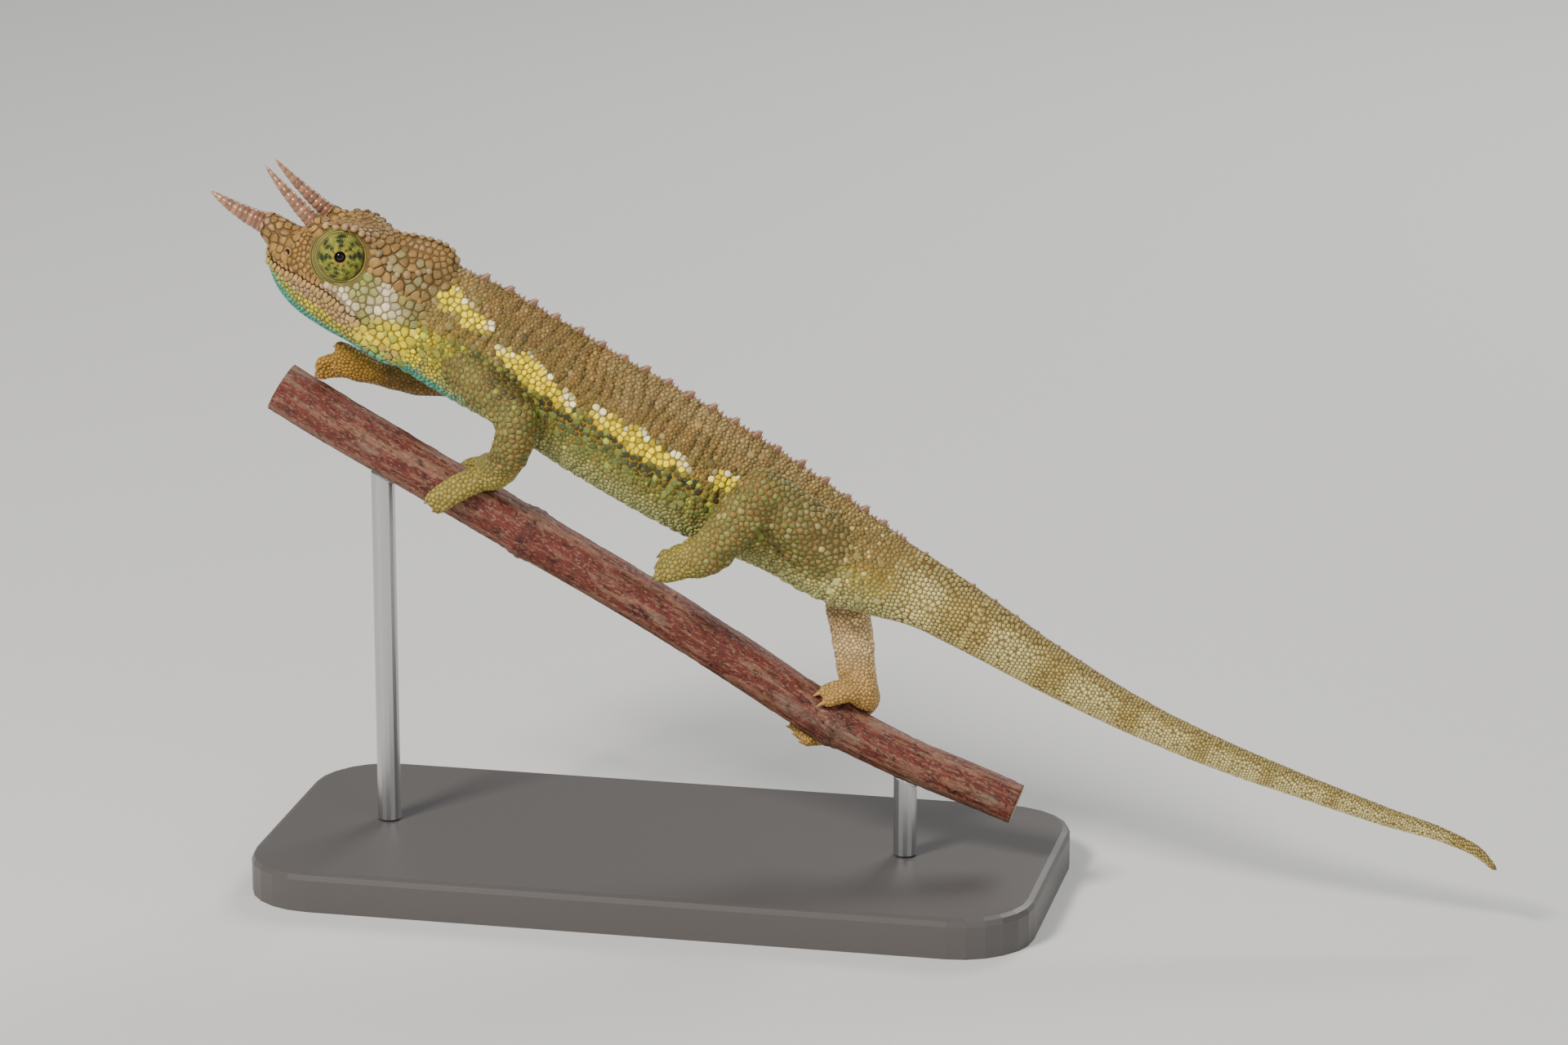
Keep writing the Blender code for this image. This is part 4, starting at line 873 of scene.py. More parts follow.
for side, gaze in ((-1, animal["gazeLeft"]), (1, animal["gazeRight"])):
    axis = headDirection(gaze)
    u, v, w = animal["eye"]
    offset = spots - headPoint(u, v, w * side)
    reachUp = offset @ axis
    across = np.linalg.norm(offset - reachUp[:, None] * axis, axis=1)
    lean = 0.5 + 0.5 * (offset @ rearLow) / np.maximum(across, 0.1)
    clear = turretRoom["radius"] + turretRoom["widening"] * lean + turretRoom["perSize"] * sizes
    free &= ~((across < clear) & (reachUp > turretRoom["below"]))
    nostril = headPoint(*nostrilSizes["place"][:2], nostrilSizes["place"][2] * -side)
    free &= np.linalg.norm(spots - settled(nostril[None])[0][0], axis=1) > nostrilSizes["radius"] * 1.25
spots, outs, marks, sizes, picked = spots[free], outs[free], marks[free], sizes[free], picked[free]
vertexOf = quadTris[picked, 0]

# rows of scales that follow a form: the tail's rings, the lips and the collars of the horns
ringKind, rowKind, crestKind = 1, 2, 3
rows = []
place, ringNumber = tailRows["first"], 0
while place < axisRun[-1] - tailRows["end"]:
    x, z, tall, wide = through(axisRun, axisRows, place)[0]
    back = axisBack[np.abs(axisAt - place).argmin()]
    size = tailRows["size"] + tall * tailRows["perHeight"]
    size = float(np.clip(size, tailRows["least"], tailRows["most"]))
    turns = np.linspace(0, math.tau, 200)
    girth = np.hypot(np.gradient(np.cos(turns) * tall / 2), np.gradient(np.sin(turns) * wide / 2)).cumsum()
    count = max(6, int(girth[-1] / size))
    for k in range(count):
        share = (k + 0.5 * (ringNumber % 2) + tailRows["jitter"] * rng.standard_normal()) / count % 1
        angle = float(np.interp(share * girth[-1], girth, turns))
        lift = math.cos(angle) * tall / 2
        rows.append(((x - back[1] * lift, math.sin(angle) * wide / 2, z + back[0] * lift), size, ringKind))
    place += size * tailRows["step"]
    ringNumber += 1
for side in (-1, 1):
    for away in (lipRows["away"], -lipRows["away"]):
        run = lipRows["start"] + 0.3 * (away > 0)
        while run < lipRows["end"]:
            width = side * float(np.interp(run, *lipRows["width"]))
            rows.append((headPoint(run, float(mouthLevel(run)) + away, width), lipRows["size"], rowKind))
            run += lipRows["step"]
for away in (lipRows["away"], -lipRows["away"]):
    for across in lipRows["frontAcross"]:
        place = headPoint(-0.5 + 0.5 * abs(across), float(mouthLevel(0.7)) + away, across)
        rows.append((place, lipRows["frontSize"], rowKind))
for (u, v, w), radius, count in collars:
    for angle in anglesOf(count):
        first, second = radius * math.cos(angle), w + radius * math.sin(angle)
        place = headPoint(u, v + first, second) if w == 0 else headPoint(u + first, v, second)
        rows.append((place, 1.0, rowKind))
rowSpots, rowSizes, rowKinds = zip(*rows)
rowPlaces, rowOuts, rowVertices = settled(np.array(rowSpots))
crestSpots = np.array([tip - heading * 0.45 for tip, heading, _, _ in tipsOf["head"]])
crestPlaces, crestOuts, crestVertices = settled(crestSpots)
spots = np.concatenate([spots, rowPlaces, crestPlaces])
outs = np.concatenate([outs, rowOuts, crestOuts])
vertexOf = np.concatenate([vertexOf, rowVertices, crestVertices])
marks = np.concatenate([marks, skinLabels[rowVertices], skinLabels[crestVertices]])
sizes = np.concatenate([sizes, rowSizes, 0.80 + 0.25 * rng.random(len(crestSpots))])
kinds = np.concatenate([np.zeros(len(picked), int), rowKinds, np.full(len(crestSpots), crestKind)])

kept = pack(spots, sizes, np.lexsort((rng.random(len(spots)), -np.round(sizes, 1), -kinds)))
spots, outs, marks, sizes, kinds, vertexOf = (a[kept] for a in (spots, outs, marks, sizes, kinds, vertexOf))
uvRoots = cornerUv[vertexOf]
scaleChance = rng.random(len(spots))
scaleTones = paintAll(spots, outs, marks, scaleChance) * (0.80 + 0.40 * rng.random(len(spots)))[:, None]
pale = tones["crest"] * (0.1 + 0.6 * rng.random(len(spots)))[:, None]
scaleTones = np.where((kinds == crestKind)[:, None], scaleTones * 0.8 + pale, scaleTones)
scaleTones = np.where((kinds == rowKind)[:, None], scaleTones * 0.6 + tones["lip"] * 0.4, scaleTones)
rimTones = gapTones[vertexOf] * 0.6 + paintNet(spots, marks, scaleTones) * 0.4
rimTones = np.where((marks == 0)[:, None], rimTones * 0.55, rimTones)
fills = np.full(len(spots), scaleSizes["fill"])
fills[(marks == 1) & (scaleTones.sum(axis=1) < 0.17)] = scaleSizes["darkFill"]
# painted light and shade: scales in the troughs of the skin's folds and creases darker, those on their crests
# lighter
depth = (folds + creases)[vertexOf]
scaleTones = scaleTones * np.clip(1 + depth * 2.6, 0.62, 1.25)[:, None]
print("scales packed:", len(spots))

spotAlong, _ = bodyPlace(spots)
big = (sizes > scaleSizes["plateFrom"]) & (marks <= 1)
small = ~big
# for each piece of the coat: its scales, their sides, their rings as shares of reach and rise, their rise
groups = {"scales_plates": (big & (kinds != crestKind), 11, ((1.0, 0), (0.88, 0.78), (0.5, 0.97)), 0.24),
          "scales_crests": (kinds == crestKind, 11, ((1.0, 0), (0.72, 0.50), (0.36, 0.85)), 0.72),
          "scales_head": (small & (marks == 0), 9, ((1.0, 0), (0.84, 0.80)), 0.32)}
for label, pair in (("arms", (2, 3)), ("legs", (4, 5))):
    groups["scales_" + label] = (small & np.isin(marks, pair), 9, ((1.0, 0), (0.86, 0.72)), 0.36)
for label, start, end in (("neck", 0, 24), ("chest", 24, 48), ("flank", 48, 70), ("rump", 70, 100),
                          ("tail", 100, 999)):
    chosen = small & (marks == 1) & (spotAlong >= start) & (spotAlong < end)
    groups["scales_" + label] = (chosen, 8, ((1.0, 0), (0.86, 0.74)), 0.36)
for name, (chosen, sides, rings, rise) in groups.items():
    piece = layScales(name, spots[chosen], outs[chosen], sizes[chosen], scaleTones[chosen], rimTones[chosen],
                      uvRoots[chosen], scaleFinish, sides, rings, rise, fills[chosen])
    print(name, int(chosen.sum()), "scales,", len(piece.data.polygons), "faces")

# eye turrets: fused lids in rings of granules round a small opening
eyeSizes = {
    # radius and height of the lids along the line of sight, out from the pocket
    "profile": ((0.30, 2.5), (0.90, 2.5), (0.86, 3.30), (0.90, 3.52), (1.02, 3.60), (1.25, 3.52), (1.7, 3.36),
                (2.2, 3.10), (3.0, 2.56), (3.7, 1.86), (4.3, 1.02), (4.66, 0.1), (4.3, -0.9), (3.0, -1.8)),
    "rings": 15, "granule": 0.28, "foldsFrom": 3.55, "ripple": 0.36,
    "sides": 96, "ballSides": 32,
    # the outer folds: where they start and end, how much wider they are on the rear low side, their pitch
    "outerFolds": (3.80, 4.98), "widening": 0.36, "pitch": 0.30,
    "eyeball": ((0.80, 2.6), (0.80, 3.0), (0.76, 3.25), (0.60, 3.42), (0.32, 3.53), (0.0, 3.56)),
}


def turned(profile, centre, axis, sides):
    axis = unit(axis)
    across = unit(np.cross(axis, (0.0, 0.0, 1.0)))
    beside = np.cross(axis, across)
    angles = anglesOf(sides)
    spokes = np.cos(angles)[:, None] * across + np.sin(angles)[:, None] * beside
    return np.array([centre + axis * h + spokes * r for r, h in profile]), angles


def tubeFaces(rings, sides, closed=True):
    k = np.arange(sides)
    faces = [np.column_stack([i * sides + k, i * sides + (k + 1) % sides, (i + 1) * sides + (k + 1) % sides,
                              (i + 1) * sides + k]) for i in range(rings - 1)]
    faces = np.concatenate(faces).tolist()
    if closed:
        faces += [list(range(sides))[::-1], list(range((rings - 1) * sides, rings * sides))]
    return faces


def facingOut(points, faces):
    # turns the faces so that the closed surface encloses a volume above zero
    volume = 0.0
    for face in faces:
        a = points[face[0]]
        for i in range(1, len(face) - 1):
            volume += np.dot(a, np.cross(points[face[i]], points[face[i + 1]]))
    return faces if volume > 0 else [face[::-1] for face in faces]


def cornersOf(faces):
    return np.array([i for face in faces for i in face])


eyeTones = {"lid": (0.36, 0.37, 0.035), "pale": (0.66, 0.62, 0.12), "streak": (0.030, 0.042, 0.010),
            "ring": (0.46, 0.22, 0.07), "glow": (0.70, 0.56, 0.05), "fold": (0.19, 0.155, 0.032),
            "foldPale": (0.42, 0.38, 0.10)}
eyeTones = arraysOf(eyeTones)
# dark sectors of the lids: angle from the front, downwards, in degrees; half width and strength
eyeSectors = ((0, 13, 1.25), (38, 10, 0.8), (72, 11, 0.9), (108, 10, 0.7), (145, 10, 0.75), (182, 13, 1.25),
              (222, 11, 0.9), (268, 15, 1.15), (318, 12, 1.0))


def lidColour(radius, angle, chance):
    colours = blend(eyeTones["lid"],
                    ((chance > 0.70) * 0.7, eyeTones["pale"]),
                    (smoothstep(2.2, 1.2, radius) * 0.5, eyeTones["glow"]))
    degrees = np.degrees(angle) + 5 * np.sin(radius * 4)
    for middle, width, strength in eyeSectors:
        apart = (degrees - middle + 180) % 360 - 180
        sector = np.exp(-((apart / width) ** 2)) * strength * smoothstep(0.9, 1.5, radius)
        colours = blend(colours, (sector * (1.0 + 0.35 * np.sin(radius * 9 + middle)), eyeTones["streak"]))
    outside = smoothstep(eyeSizes["foldsFrom"] - 0.15, eyeSizes["foldsFrom"] + 0.2, radius)
    return blend(colours,
                 (outside, eyeTones["fold"]),
                 (outside * (chance > 0.6) * 0.6, eyeTones["foldPale"]),
                 (smoothstep(1.12, 1.02, radius), eyeTones["ring"]))


eyePlace = animal["eye"]
granules = []
skinSurface = BVHTree.FromPolygons([tuple(p) for p in skin], quads.tolist())


def polarUv(side, radius, angle):
    # the lids' own unwrap: seen along the line of sight, one eye beside the other
    middle = 0.25 if side < 0 else 0.75
    return np.column_stack([middle + radius * 0.045 * np.cos(angle), 0.5 + radius * 0.045 * np.sin(angle)])


rows = np.array(eyeSizes["profile"])
run = lengthAlong(rows)
fineRun = np.linspace(run[3], run[-1], 90)
sides = eyeSizes["sides"]
for side, gaze in ((-1, animal["gazeLeft"]), (1, animal["gazeRight"])):
    label = "left" if side < 0 else "right"
    centre = headPoint(eyePlace[0], eyePlace[1], eyePlace[2] * side)
    axis = headDirection(gaze)
    fine = through(run, rows, fineRun)
    folding = smoothstep(eyeSizes["foldsFrom"] - 0.1, eyeSizes["foldsFrom"] + 0.15, fine[:, 0])
    ripple = np.sin(fineRun * math.tau / eyeSizes["ripple"])
    fine[:, 1] -= 0.05 * (1 - folding) - 0.055 * ripple * folding
    fine[:, 0] += 0.03 * ripple * folding
    profile = [tuple(p) for p in rows[:3]] + [tuple(p) for p in fine]
    rings, angles = turned(profile, centre, axis, sides)
    points = rings.reshape(-1, 3)
    radius = np.repeat([p[0] for p in profile], sides)
    seen = np.tile(angles if side < 0 else math.pi - angles, len(profile))
    # painted light and shade: the three rows in the pocket darkened, the ripples of the folds lighter on
    # their crests and darker in their troughs
    lidPaintedLight = np.concatenate([[0.5] * 3, 0.75 + 0.35 * ripple * folding])
    lids = lidColour(radius, seen, np.full(len(radius), 0.3)) * np.repeat(lidPaintedLight, sides)[:, None]
    faces = facingOut(points, tubeFaces(len(profile), sides))
    lidRun = np.repeat([0] * 3 + list(np.linspace(0.8, 5.5, len(profile) - 3)), sides)
    lidUv = polarUv(side, lidRun, np.tile(angles, len(profile)))[cornersOf(faces)]
    lid = makePiece("lids_" + label, points, faces, skinFinish, lids, lidUv)
    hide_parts("eye_" + label)
    ballProfile = [(0.02, 2.55)] + list(eyeSizes["eyeball"][:-1]) + [(0.02, 3.53)]
    ball, _ = turned(ballProfile, centre, axis, eyeSizes["ballSides"])
    ball = ball.reshape(-1, 3)
    ballFaces = facingOut(ball, tubeFaces(len(ballProfile), eyeSizes["ballSides"]))
    glossy = Finish("pupil_" + label, Base_Color=(0.004, 0.003, 0.003, 1), Roughness=0.05,
                    Specular_IOR_Level=0.4)
    eyeball = makePiece("pupil_" + label, ball, ballFaces, glossy.material)
    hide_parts("eyeball_" + label)
    # the outer folds of the lids lie over the skin round the pocket
    inner, outer = eyeSizes["outerFolds"]
    over = 60  # rings that show, before the ones that tuck under
    reach = np.concatenate([np.linspace(inner, outer, over), np.linspace(4.90, 3.9, 6)])
    spokes = unit(rings[5] - (centre + axis * profile[5][1]))
    heights = np.empty((len(reach), sides))
    lean = 0.5 + 0.5 * spokes @ rearLow
    radii = inner + (reach[:, None] - inner) * (1 + eyeSizes["widening"] * lean[None, :])
    for k in range(sides):
        for i, r in enumerate(radii[:, k]):
            own = float(np.interp(r, rows[7:12, 0], rows[7:12, 1]))
            hit, _, _, far = skinSurface.ray_cast(Vector(centre + axis * 7 + spokes[k] * r), Vector(-axis), 9)
            under = 7 - far if hit else own
            heights[i, k] = min(max(own, under), own + 1.1) - (0.45 if i >= over else 0)
    for _ in range(4):
        heights = (np.roll(heights, 1, axis=1) + 2 * heights + np.roll(heights, -1, axis=1)) / 4
    wave = np.sin(reach * math.tau / eyeSizes["pitch"])
    fade = smoothstep(outer, outer - 0.18, reach)
    lift = np.where(np.arange(len(reach)) < over, 0.02 + (0.10 + 0.05 * wave) * fade, 0.0)
    pleats = centre + axis * (heights + lift[:, None])[:, :, None] + spokes[None] * radii[:, :, None]
    pleats = pleats.reshape(-1, 3)
    faces = tubeFaces(len(reach), sides, False)
    final = (len(reach) - 1) * sides
    faces += [(final + k, final + (k + 1) % sides, (k + 1) % sides, k) for k in range(sides)]
    faces = facingOut(pleats, faces)
    # painted light and shade: the pleats lighter and paler on their crests, darker in their troughs
    tint = blend(eyeTones["fold"] * (1 + 0.45 * wave)[:, None],
                 (smoothstep(0.2, 0.9, wave) * 0.6, eyeTones["foldPale"]))
    patchy = valueNoise(np.repeat(reach, sides), np.tile(np.arange(sides) / 6, len(reach)), 51, 16)
    tint = np.repeat(tint, sides, axis=0) * (0.85 + 0.3 * patchy)[:, None]
    pleatUv = polarUv(side, np.repeat(reach + 0.2, sides), np.tile(angles, len(reach)))[cornersOf(faces)]
    pleatPiece = makePiece("folds_" + label, pleats, faces, skinFinish, tint, pleatUv)
    # granules in rings over the lids
    last = float(np.interp(eyeSizes["foldsFrom"], rows[3:11, 0], run[3:11]))
    reachRun = np.linspace(run[4] + 0.12, last, eyeSizes["rings"])
    around = turned([(1, 0)], np.zeros(3), axis, 4)[0][0]
    for ring, place in enumerate(reachRun):
        (r, h), = through(run, rows, place)
        (r1, h1), = through(run, rows, place + 0.02)
        slope = unit(np.array([r1 - r, h1 - h]))
        size = eyeSizes["granule"] * (0.75 if ring < 2 else 1.0)
        count = max(8, int(math.tau * r / size))
        turn = rng.random()
        for k in range(count):
            angle = (k + turn + (rng.random() - 0.5) * 0.35) * math.tau / count
            spoke = around[0] * math.cos(angle) + around[1] * math.sin(angle)
            granules.append((centre + axis * (h - 0.06) + spoke * r, unit(axis * slope[0] - spoke * slope[1]),
                             r, angle if side < 0 else math.pi - angle, polarUv(side, r, angle)[0]))
eyeSpots, eyeFacing, eyeRadii, eyeAngles, eyeUv = (np.array(column) for column in zip(*granules))
eyeChance = rng.random(len(eyeSpots))
eyeColours = lidColour(eyeRadii, eyeAngles, eyeChance) * (0.8 + 0.4 * rng.random(len(eyeSpots)))[:, None]
# the granules' rims are their own colour darkened, as painted shade between the granules
lidScales = layScales("scales_lids", eyeSpots, eyeFacing, np.full(len(eyeSpots), eyeSizes["granule"]),
                      eyeColours, eyeColours * 0.45, eyeUv, scaleFinish, 9, ((1.0, 0), (0.8, 0.72)), 0.6,
                      np.full(len(eyeSpots), scaleSizes["fill"]))
print("eyes:", len(eyeSpots), "granules")

# horns: rings that thin towards a smooth tip
hornSizes = {
    # root and tip in the head's own directions, bulge of the middle, radius and number of rings
    "rostral": ((-3.1, 3.6, 0.0), (-12.9, 2.6, 0.0), -0.8, 1.8, 11),
    "left": ((4.2, 10.3, -3.3), (-7.15, 12.75, -2.2), -0.5, 1.45, 12),
    "right": ((4.2, 10.3, 3.3), (-7.15, 12.75, 2.2), -0.5, 1.45, 12),
}
hornShape = {"rooted": 0.9, "steps": 150, "sides": 36, "taper": 0.6, "crowding": 0.85, "roundness": 0.62,
             "groove": 0.115}
hornTones = arraysOf({"base": (0.36, 0.150, 0.075), "tip": (0.50, 0.27, 0.15),
                      # groove: painted shade in the grooves between the rings
                      "groove": (0.11, 0.040, 0.020)})
sides = hornShape["sides"]
angles = anglesOf(sides)
for label, (base, tip, bulge, radius, count) in hornSizes.items():
    base, tip = np.array(base), np.array(tip)
    base = base + (base - tip) / np.linalg.norm(base - tip) * hornShape["rooted"]
    middle = (base + tip) / 2 + np.array((0, bulge, 0))
    along = np.linspace(0, 1, hornShape["steps"])
    curve = np.array([headPoint(*((1 - t) ** 2 * base + 2 * t * (1 - t) * middle + t * t * tip))
                      for t in along])
    heading = unit(np.gradient(curve, axis=0))
    phase = (along ** hornShape["crowding"]) * count
    ridge = np.abs(np.sin(phase * math.pi)) ** hornShape["roundness"]
    fade = smoothstep(1.0, 0.8, along)
    width = radius * np.maximum(1 - along, 0.0) ** hornShape["taper"]
    width = np.maximum(width * (1 - hornShape["groove"] * (1 - ridge) * fade + 0.02 * ridge * fade), 0.03)
    rings, tint = [], []
    for i, t in enumerate(along):
        across = unit(np.cross(heading[i], (0, 1, 0)))
        beside = np.cross(heading[i], across)
        wobble = 1 + 0.012 * np.sin(angles * 2 + int(phase[i]) * 1.7)
        shift = 0.05 * np.sin(angles * 2 + int(phase[i]) * 2.1)[:, None] * heading[i]
        rings.append(curve[i] + width[i] * wobble[:, None] * (np.cos(angles)[:, None] * across
                     + np.sin(angles)[:, None] * beside) + shift * fade[i])
        colour = hornTones["base"] * (1 - t) + hornTones["tip"] * t
        if t < 0.8:
            colour = colour * (0.9 + 0.25 * math.sin(int(phase[i]) * 2.3 + 1))
        # painted shade: darker in the grooves between the rings, the full colour on their bulges
        if t < 0.95:
            colour = colour * (0.35 + 0.65 * ridge[i]) + hornTones["groove"] * (0.65 - 0.65 * ridge[i])
        tint.append(np.tile(colour, (sides, 1)))
    points = np.array(rings).reshape(-1, 3)
    piece = makePiece("horn_" + label, points, facingOut(points, tubeFaces(len(rings), sides)), hornFinish,
                      np.concatenate(tint))
    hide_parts("horn_" + label)
print("horns turned")

# nostrils: a raised ring round a pit, with painted shade in the pit and a painted highlight on the ring
def makeJoined(name, parts, finish):
    # one piece from several closed parts, each with its points, faces and tints
    points, faces, tints = zip(*parts)
    starts = np.concatenate([[0], np.cumsum([len(part) for part in points])])
    allFaces = [[i + start for i in face] for part, start in zip(faces, starts) for face in part]
    return makePiece(name, np.concatenate(points), allFaces, finish, np.concatenate(tints))


nostrilParts = []
sides, radius = nostrilSizes["sides"], nostrilSizes["radius"]
for w in (nostrilSizes["place"][2], -nostrilSizes["place"][2]):
    where, out, _ = settled(headPoint(*nostrilSizes["place"][:2], w)[None])
    profile = [(r * radius, h * radius) for r, h, _ in nostrilSizes["profile"]]
    rings, _ = turned(profile, where[0], out[0], sides)
    points = rings.reshape(-1, 3)
    # painted light round the ring: lighter on its crest, darker at its foot and near black in the pit
    nostrilPaintedLight = np.repeat([light for _, _, light in nostrilSizes["profile"]], sides)
    faces = facingOut(points, tubeFaces(len(profile), sides))
    nostrilParts.append((points, faces, tones["tan"] * nostrilPaintedLight[:, None]))
nostrilPiece = makeJoined("nostrils", nostrilParts, scaleFinish)

# claws and spines: a geometry tree sets bent cones on their roots, where the solids have their tips
clawSizes = {"Sides": 12, "Rows": 11, "Power": 0.75, "Lean": 0.62}
spineSizes = {"Sides": 10, "Rows": 8, "Power": 0.9, "Lean": -0.15}


def bentCones():
    shape = Shape("bentCones", {"Sides": "Int", "Rows": "Int", "Power": "Float", "Lean": "Float",
                                "Finish": "Material"})
    cone = shape.node("GeometryNodeMeshCone", {"fill_type": "NGON"},
                      {"Vertices": shape.given("Sides"), "Side Segments": shape.given("Rows"),
                       "Radius Top": 0.012, "Radius Bottom": 1.0, "Depth": 1.0})
    spot = shape.node("GeometryNodeInputPosition")
    named = shape.node("GeometryNodeStoreNamedAttribute", {"data_type": "FLOAT_VECTOR", "domain": "POINT"},
                       {"Geometry": cone, "Name": "spot", "Value": spot})
    x, y, z = (shape.node("ShaderNodeSeparateXYZ", None, {0: spot}, axis) for axis in range(3))
    left = (1 - z).maths("MAXIMUM", 0.012)
    slim = left.maths("POWER", shape.given("Power") - 1)
    bent = shape.node("ShaderNodeCombineXYZ", None,
                      {0: x * slim + shape.given("Lean") * z * left * 2, 1: y * slim, 2: z})
    shaped = shape.node("GeometryNodeSetPosition", None, {"Geometry": named, "Position": bent})
    turn, size = (shape.node("GeometryNodeInputNamedAttribute", {"data_type": "FLOAT_VECTOR"},
                             {"Name": label}) for label in ("turn", "size"))
    placed = shape.node("GeometryNodeInstanceOnPoints", None,
                        {"Points": shape.given("Roots"), "Instance": shaped, "Rotation": turn,
                         "Scale": size})
    solid = shape.node("GeometryNodeRealizeInstances", None, {"Geometry": placed})
    shape.deliver(shape.node("GeometryNodeSetMaterial", None,
                             {"Geometry": solid, "Material": shape.given("Finish")}))
    return shape.tree


def grow(name, tree, rows, sizes, finish):
    # rows start with a root, a tip, the side a cone leans to, and its two half widths
    mesh = bpy.data.meshes.new(name)
    mesh.from_pydata([tuple(row[0]) for row in rows], [], [])
    turns, scales = [], []
    for root, tip, lean, wide, deep, *_ in rows:
        rise = unit(tip - root)
        side = unit(lean - rise * (lean @ rise))
        turns.append(Matrix(np.column_stack([side, np.cross(rise, side), rise]).tolist()).to_euler())
        scales.append((wide, deep, np.linalg.norm(tip - root)))
    for label, values in (("turn", turns), ("size", scales)):
        attribute = mesh.attributes.new(label, "FLOAT_VECTOR", "POINT")
        attribute.data.foreach_set("vector", np.array(values).ravel())
    mesh.attributes.new("which", "INT", "POINT").data.foreach_set("value", np.arange(len(rows)))
    holder = addObject(name, mesh)
    modifier = holder.modifiers.new(name, "NODES")
    modifier.node_group = tree
    for item in tree.interface.items_tree:
        if item.name in sizes:
            modifier[item.identifier] = sizes[item.name]
        if item.name == "Finish":
            modifier[item.identifier] = finish
    grown = bpy.data.meshes.new_from_object(holder.evaluated_get(bpy.context.evaluated_depsgraph_get()))
    holder.modifiers.remove(modifier)
    bpy.data.objects.remove(holder)
    points = read(grown.vertices, "co", 3)
    spot = read(grown.attributes["spot"].data, "vector", 3)
    which = read(grown.attributes["which"].data, "value", 1, int)
    return points, [list(face.vertices) for face in grown.polygons], spot, which


branch = {
    # x, z and radius from the cut end at the head to the one at the tail
    "axis": ((-82.8, 17.9, 4.2), (-75.4, 13.7, 4.2), (-64.6, 7.9, 4.15), (-43.0, -3.7, 4.1),
             (-21.5, -15.2, 4.0), (-8.0, -23.1, 3.95), (5.4, -31.2, 3.8), (18.7, -37.5, 3.55),
             (32.1, -42.4, 3.4), (38.0, -44.6, 3.35)),
    "scars": ((46.5, 0.35), (104.5, 0.45)), "scarReach": 1.7, "sides": 96, "step": 0.42, "relief": 0.16,
    "under": 0.14, "slope": 27, "endSides": 48,
}
branchRows = np.array(branch["axis"])
branchRun = lengthAlong(branchRows)


def roundBranch(place, degrees, lift):
    # a point on the branch: 0 degrees is on top, positive towards the animal's left
    (x, z, radius), (x1, z1, _) = through(branchRun, branchRows, [place, place + 0.5])
    back = unit(np.array((x1 - x, 0, z1 - z)))
    outward = np.array((-back[2], 0, back[0])) * math.cos(math.radians(degrees))
    outward = outward - np.array((0, math.sin(math.radians(degrees)), 0))
    return np.array((x, 0, z)) + outward * (radius + lift), outward


# for each bundle of toes: where it ends, the place before that, which way the toes lie and how many
toeEnds = []
for before, after, count in (
        ((32.4, 84, 1.45), (31.3, 112, 1.2), 2), ((33.0, -84, 1.35), (32.0, -110, 1.2), 3),
        ((102.4, 21, 1.9), (101.2, 33, 1.15), 2), ((102.6, -136, 1.4), (100.4, -172, 1.3), 3)):
    (start, _), (end, outward) = roundBranch(*before), roundBranch(*after)
    toeEnds.append((start, end, unit(np.cross(end - start, outward)), -outward, count, after[0] > 90))
for before, after, across, count in (
        ((-16.8, -10.6, -5.2), (-17.9, -9.7, -5.5), (0.25, 0, 1), 3),
        ((-16.6, -5.8, -5.2), (-17.6, -6.2, -5.8), (0.25, 0, 1), 2),
        ((-77.2, 10.0, 19.2), (-79.0, 9.4, 18.7), (0.15, -0.15, 1), 2),
        ((-73.6, 4.6, 21.8), (-74.5, 4.3, 22.2), (0.15, -0.15, 1), 3)):
    start, end = np.array(before), np.array(after)
    toeEnds.append((start, end, unit(across), np.array((0, 0, -1.0)), count, after[0] < -60))
claws, spines = [], []
clawPlan = {"apart": 1.9, "drop": 0.55, "girth": 0.52}
for start, end, across, bend, count, pale in toeEnds:
    heading = unit(end - start)
    for k in range(count):
        offset = (k - (count - 1) / 2) * clawPlan["apart"]
        raised = end[0] < -70
        root = end + across * offset + heading * (0.25 if raised else 0.5)
        tip = root + heading * (0.95 if raised else 1.45) + bend * clawPlan["drop"]
        claws.append((root - heading * 0.5, tip, heading * 0.35 - bend * 0.25, clawPlan["girth"],
                      clawPlan["girth"], pale))
spinePlan = {"step": 4.15, "start": 2.2, "end": 84.0, "tailEnd": 140.0, "tall": 1.65, "between": 4,
             "girth": 1.15, "smallGirth": 0.66, "thinness": 0.55, "rooted": 0.75, "lean": 0.4}
place, count = spinePlan["start"], 0
while place < spinePlan["tailEnd"]:
    x, z, tall, wide = through(axisRun, axisRows, place)[0]
    back = axisBack[np.abs(axisAt - place).argmin()]
    up = np.array((-back[1], 0, back[0]))
    along = np.array((back[0], 0, back[1]))
    large = count % (spinePlan["between"] + 1) == spinePlan["between"]
    onTail = place > spinePlan["end"]
    fade = 1 - 0.65 * (place - spinePlan["end"]) / (spinePlan["tailEnd"] - spinePlan["end"]) if onTail else 1
    high = spinePlan["tall"] * (1.0 if large else 0.34 + 0.16 * rng.random()) * fade * (0.62 if onTail else 1)
    high *= 0.9 + 0.25 * rng.random()
    top = np.array((x, 0, z)) + up * (tall / 2 - 0.1)
    base, _, vertex = settled(top[None])
    root = base[0] - up * spinePlan["rooted"]
    tip = base[0] + up * high + along * high * spinePlan["lean"]
    girth = (spinePlan["girth"] if large else spinePlan["smallGirth"]) * (0.7 if onTail else 1)
    spines.append((root, tip, along, girth, girth * spinePlan["thinness"], large, vertex[0]))
    place += spinePlan["step"] / (spinePlan["between"] + 1)
    count += 1
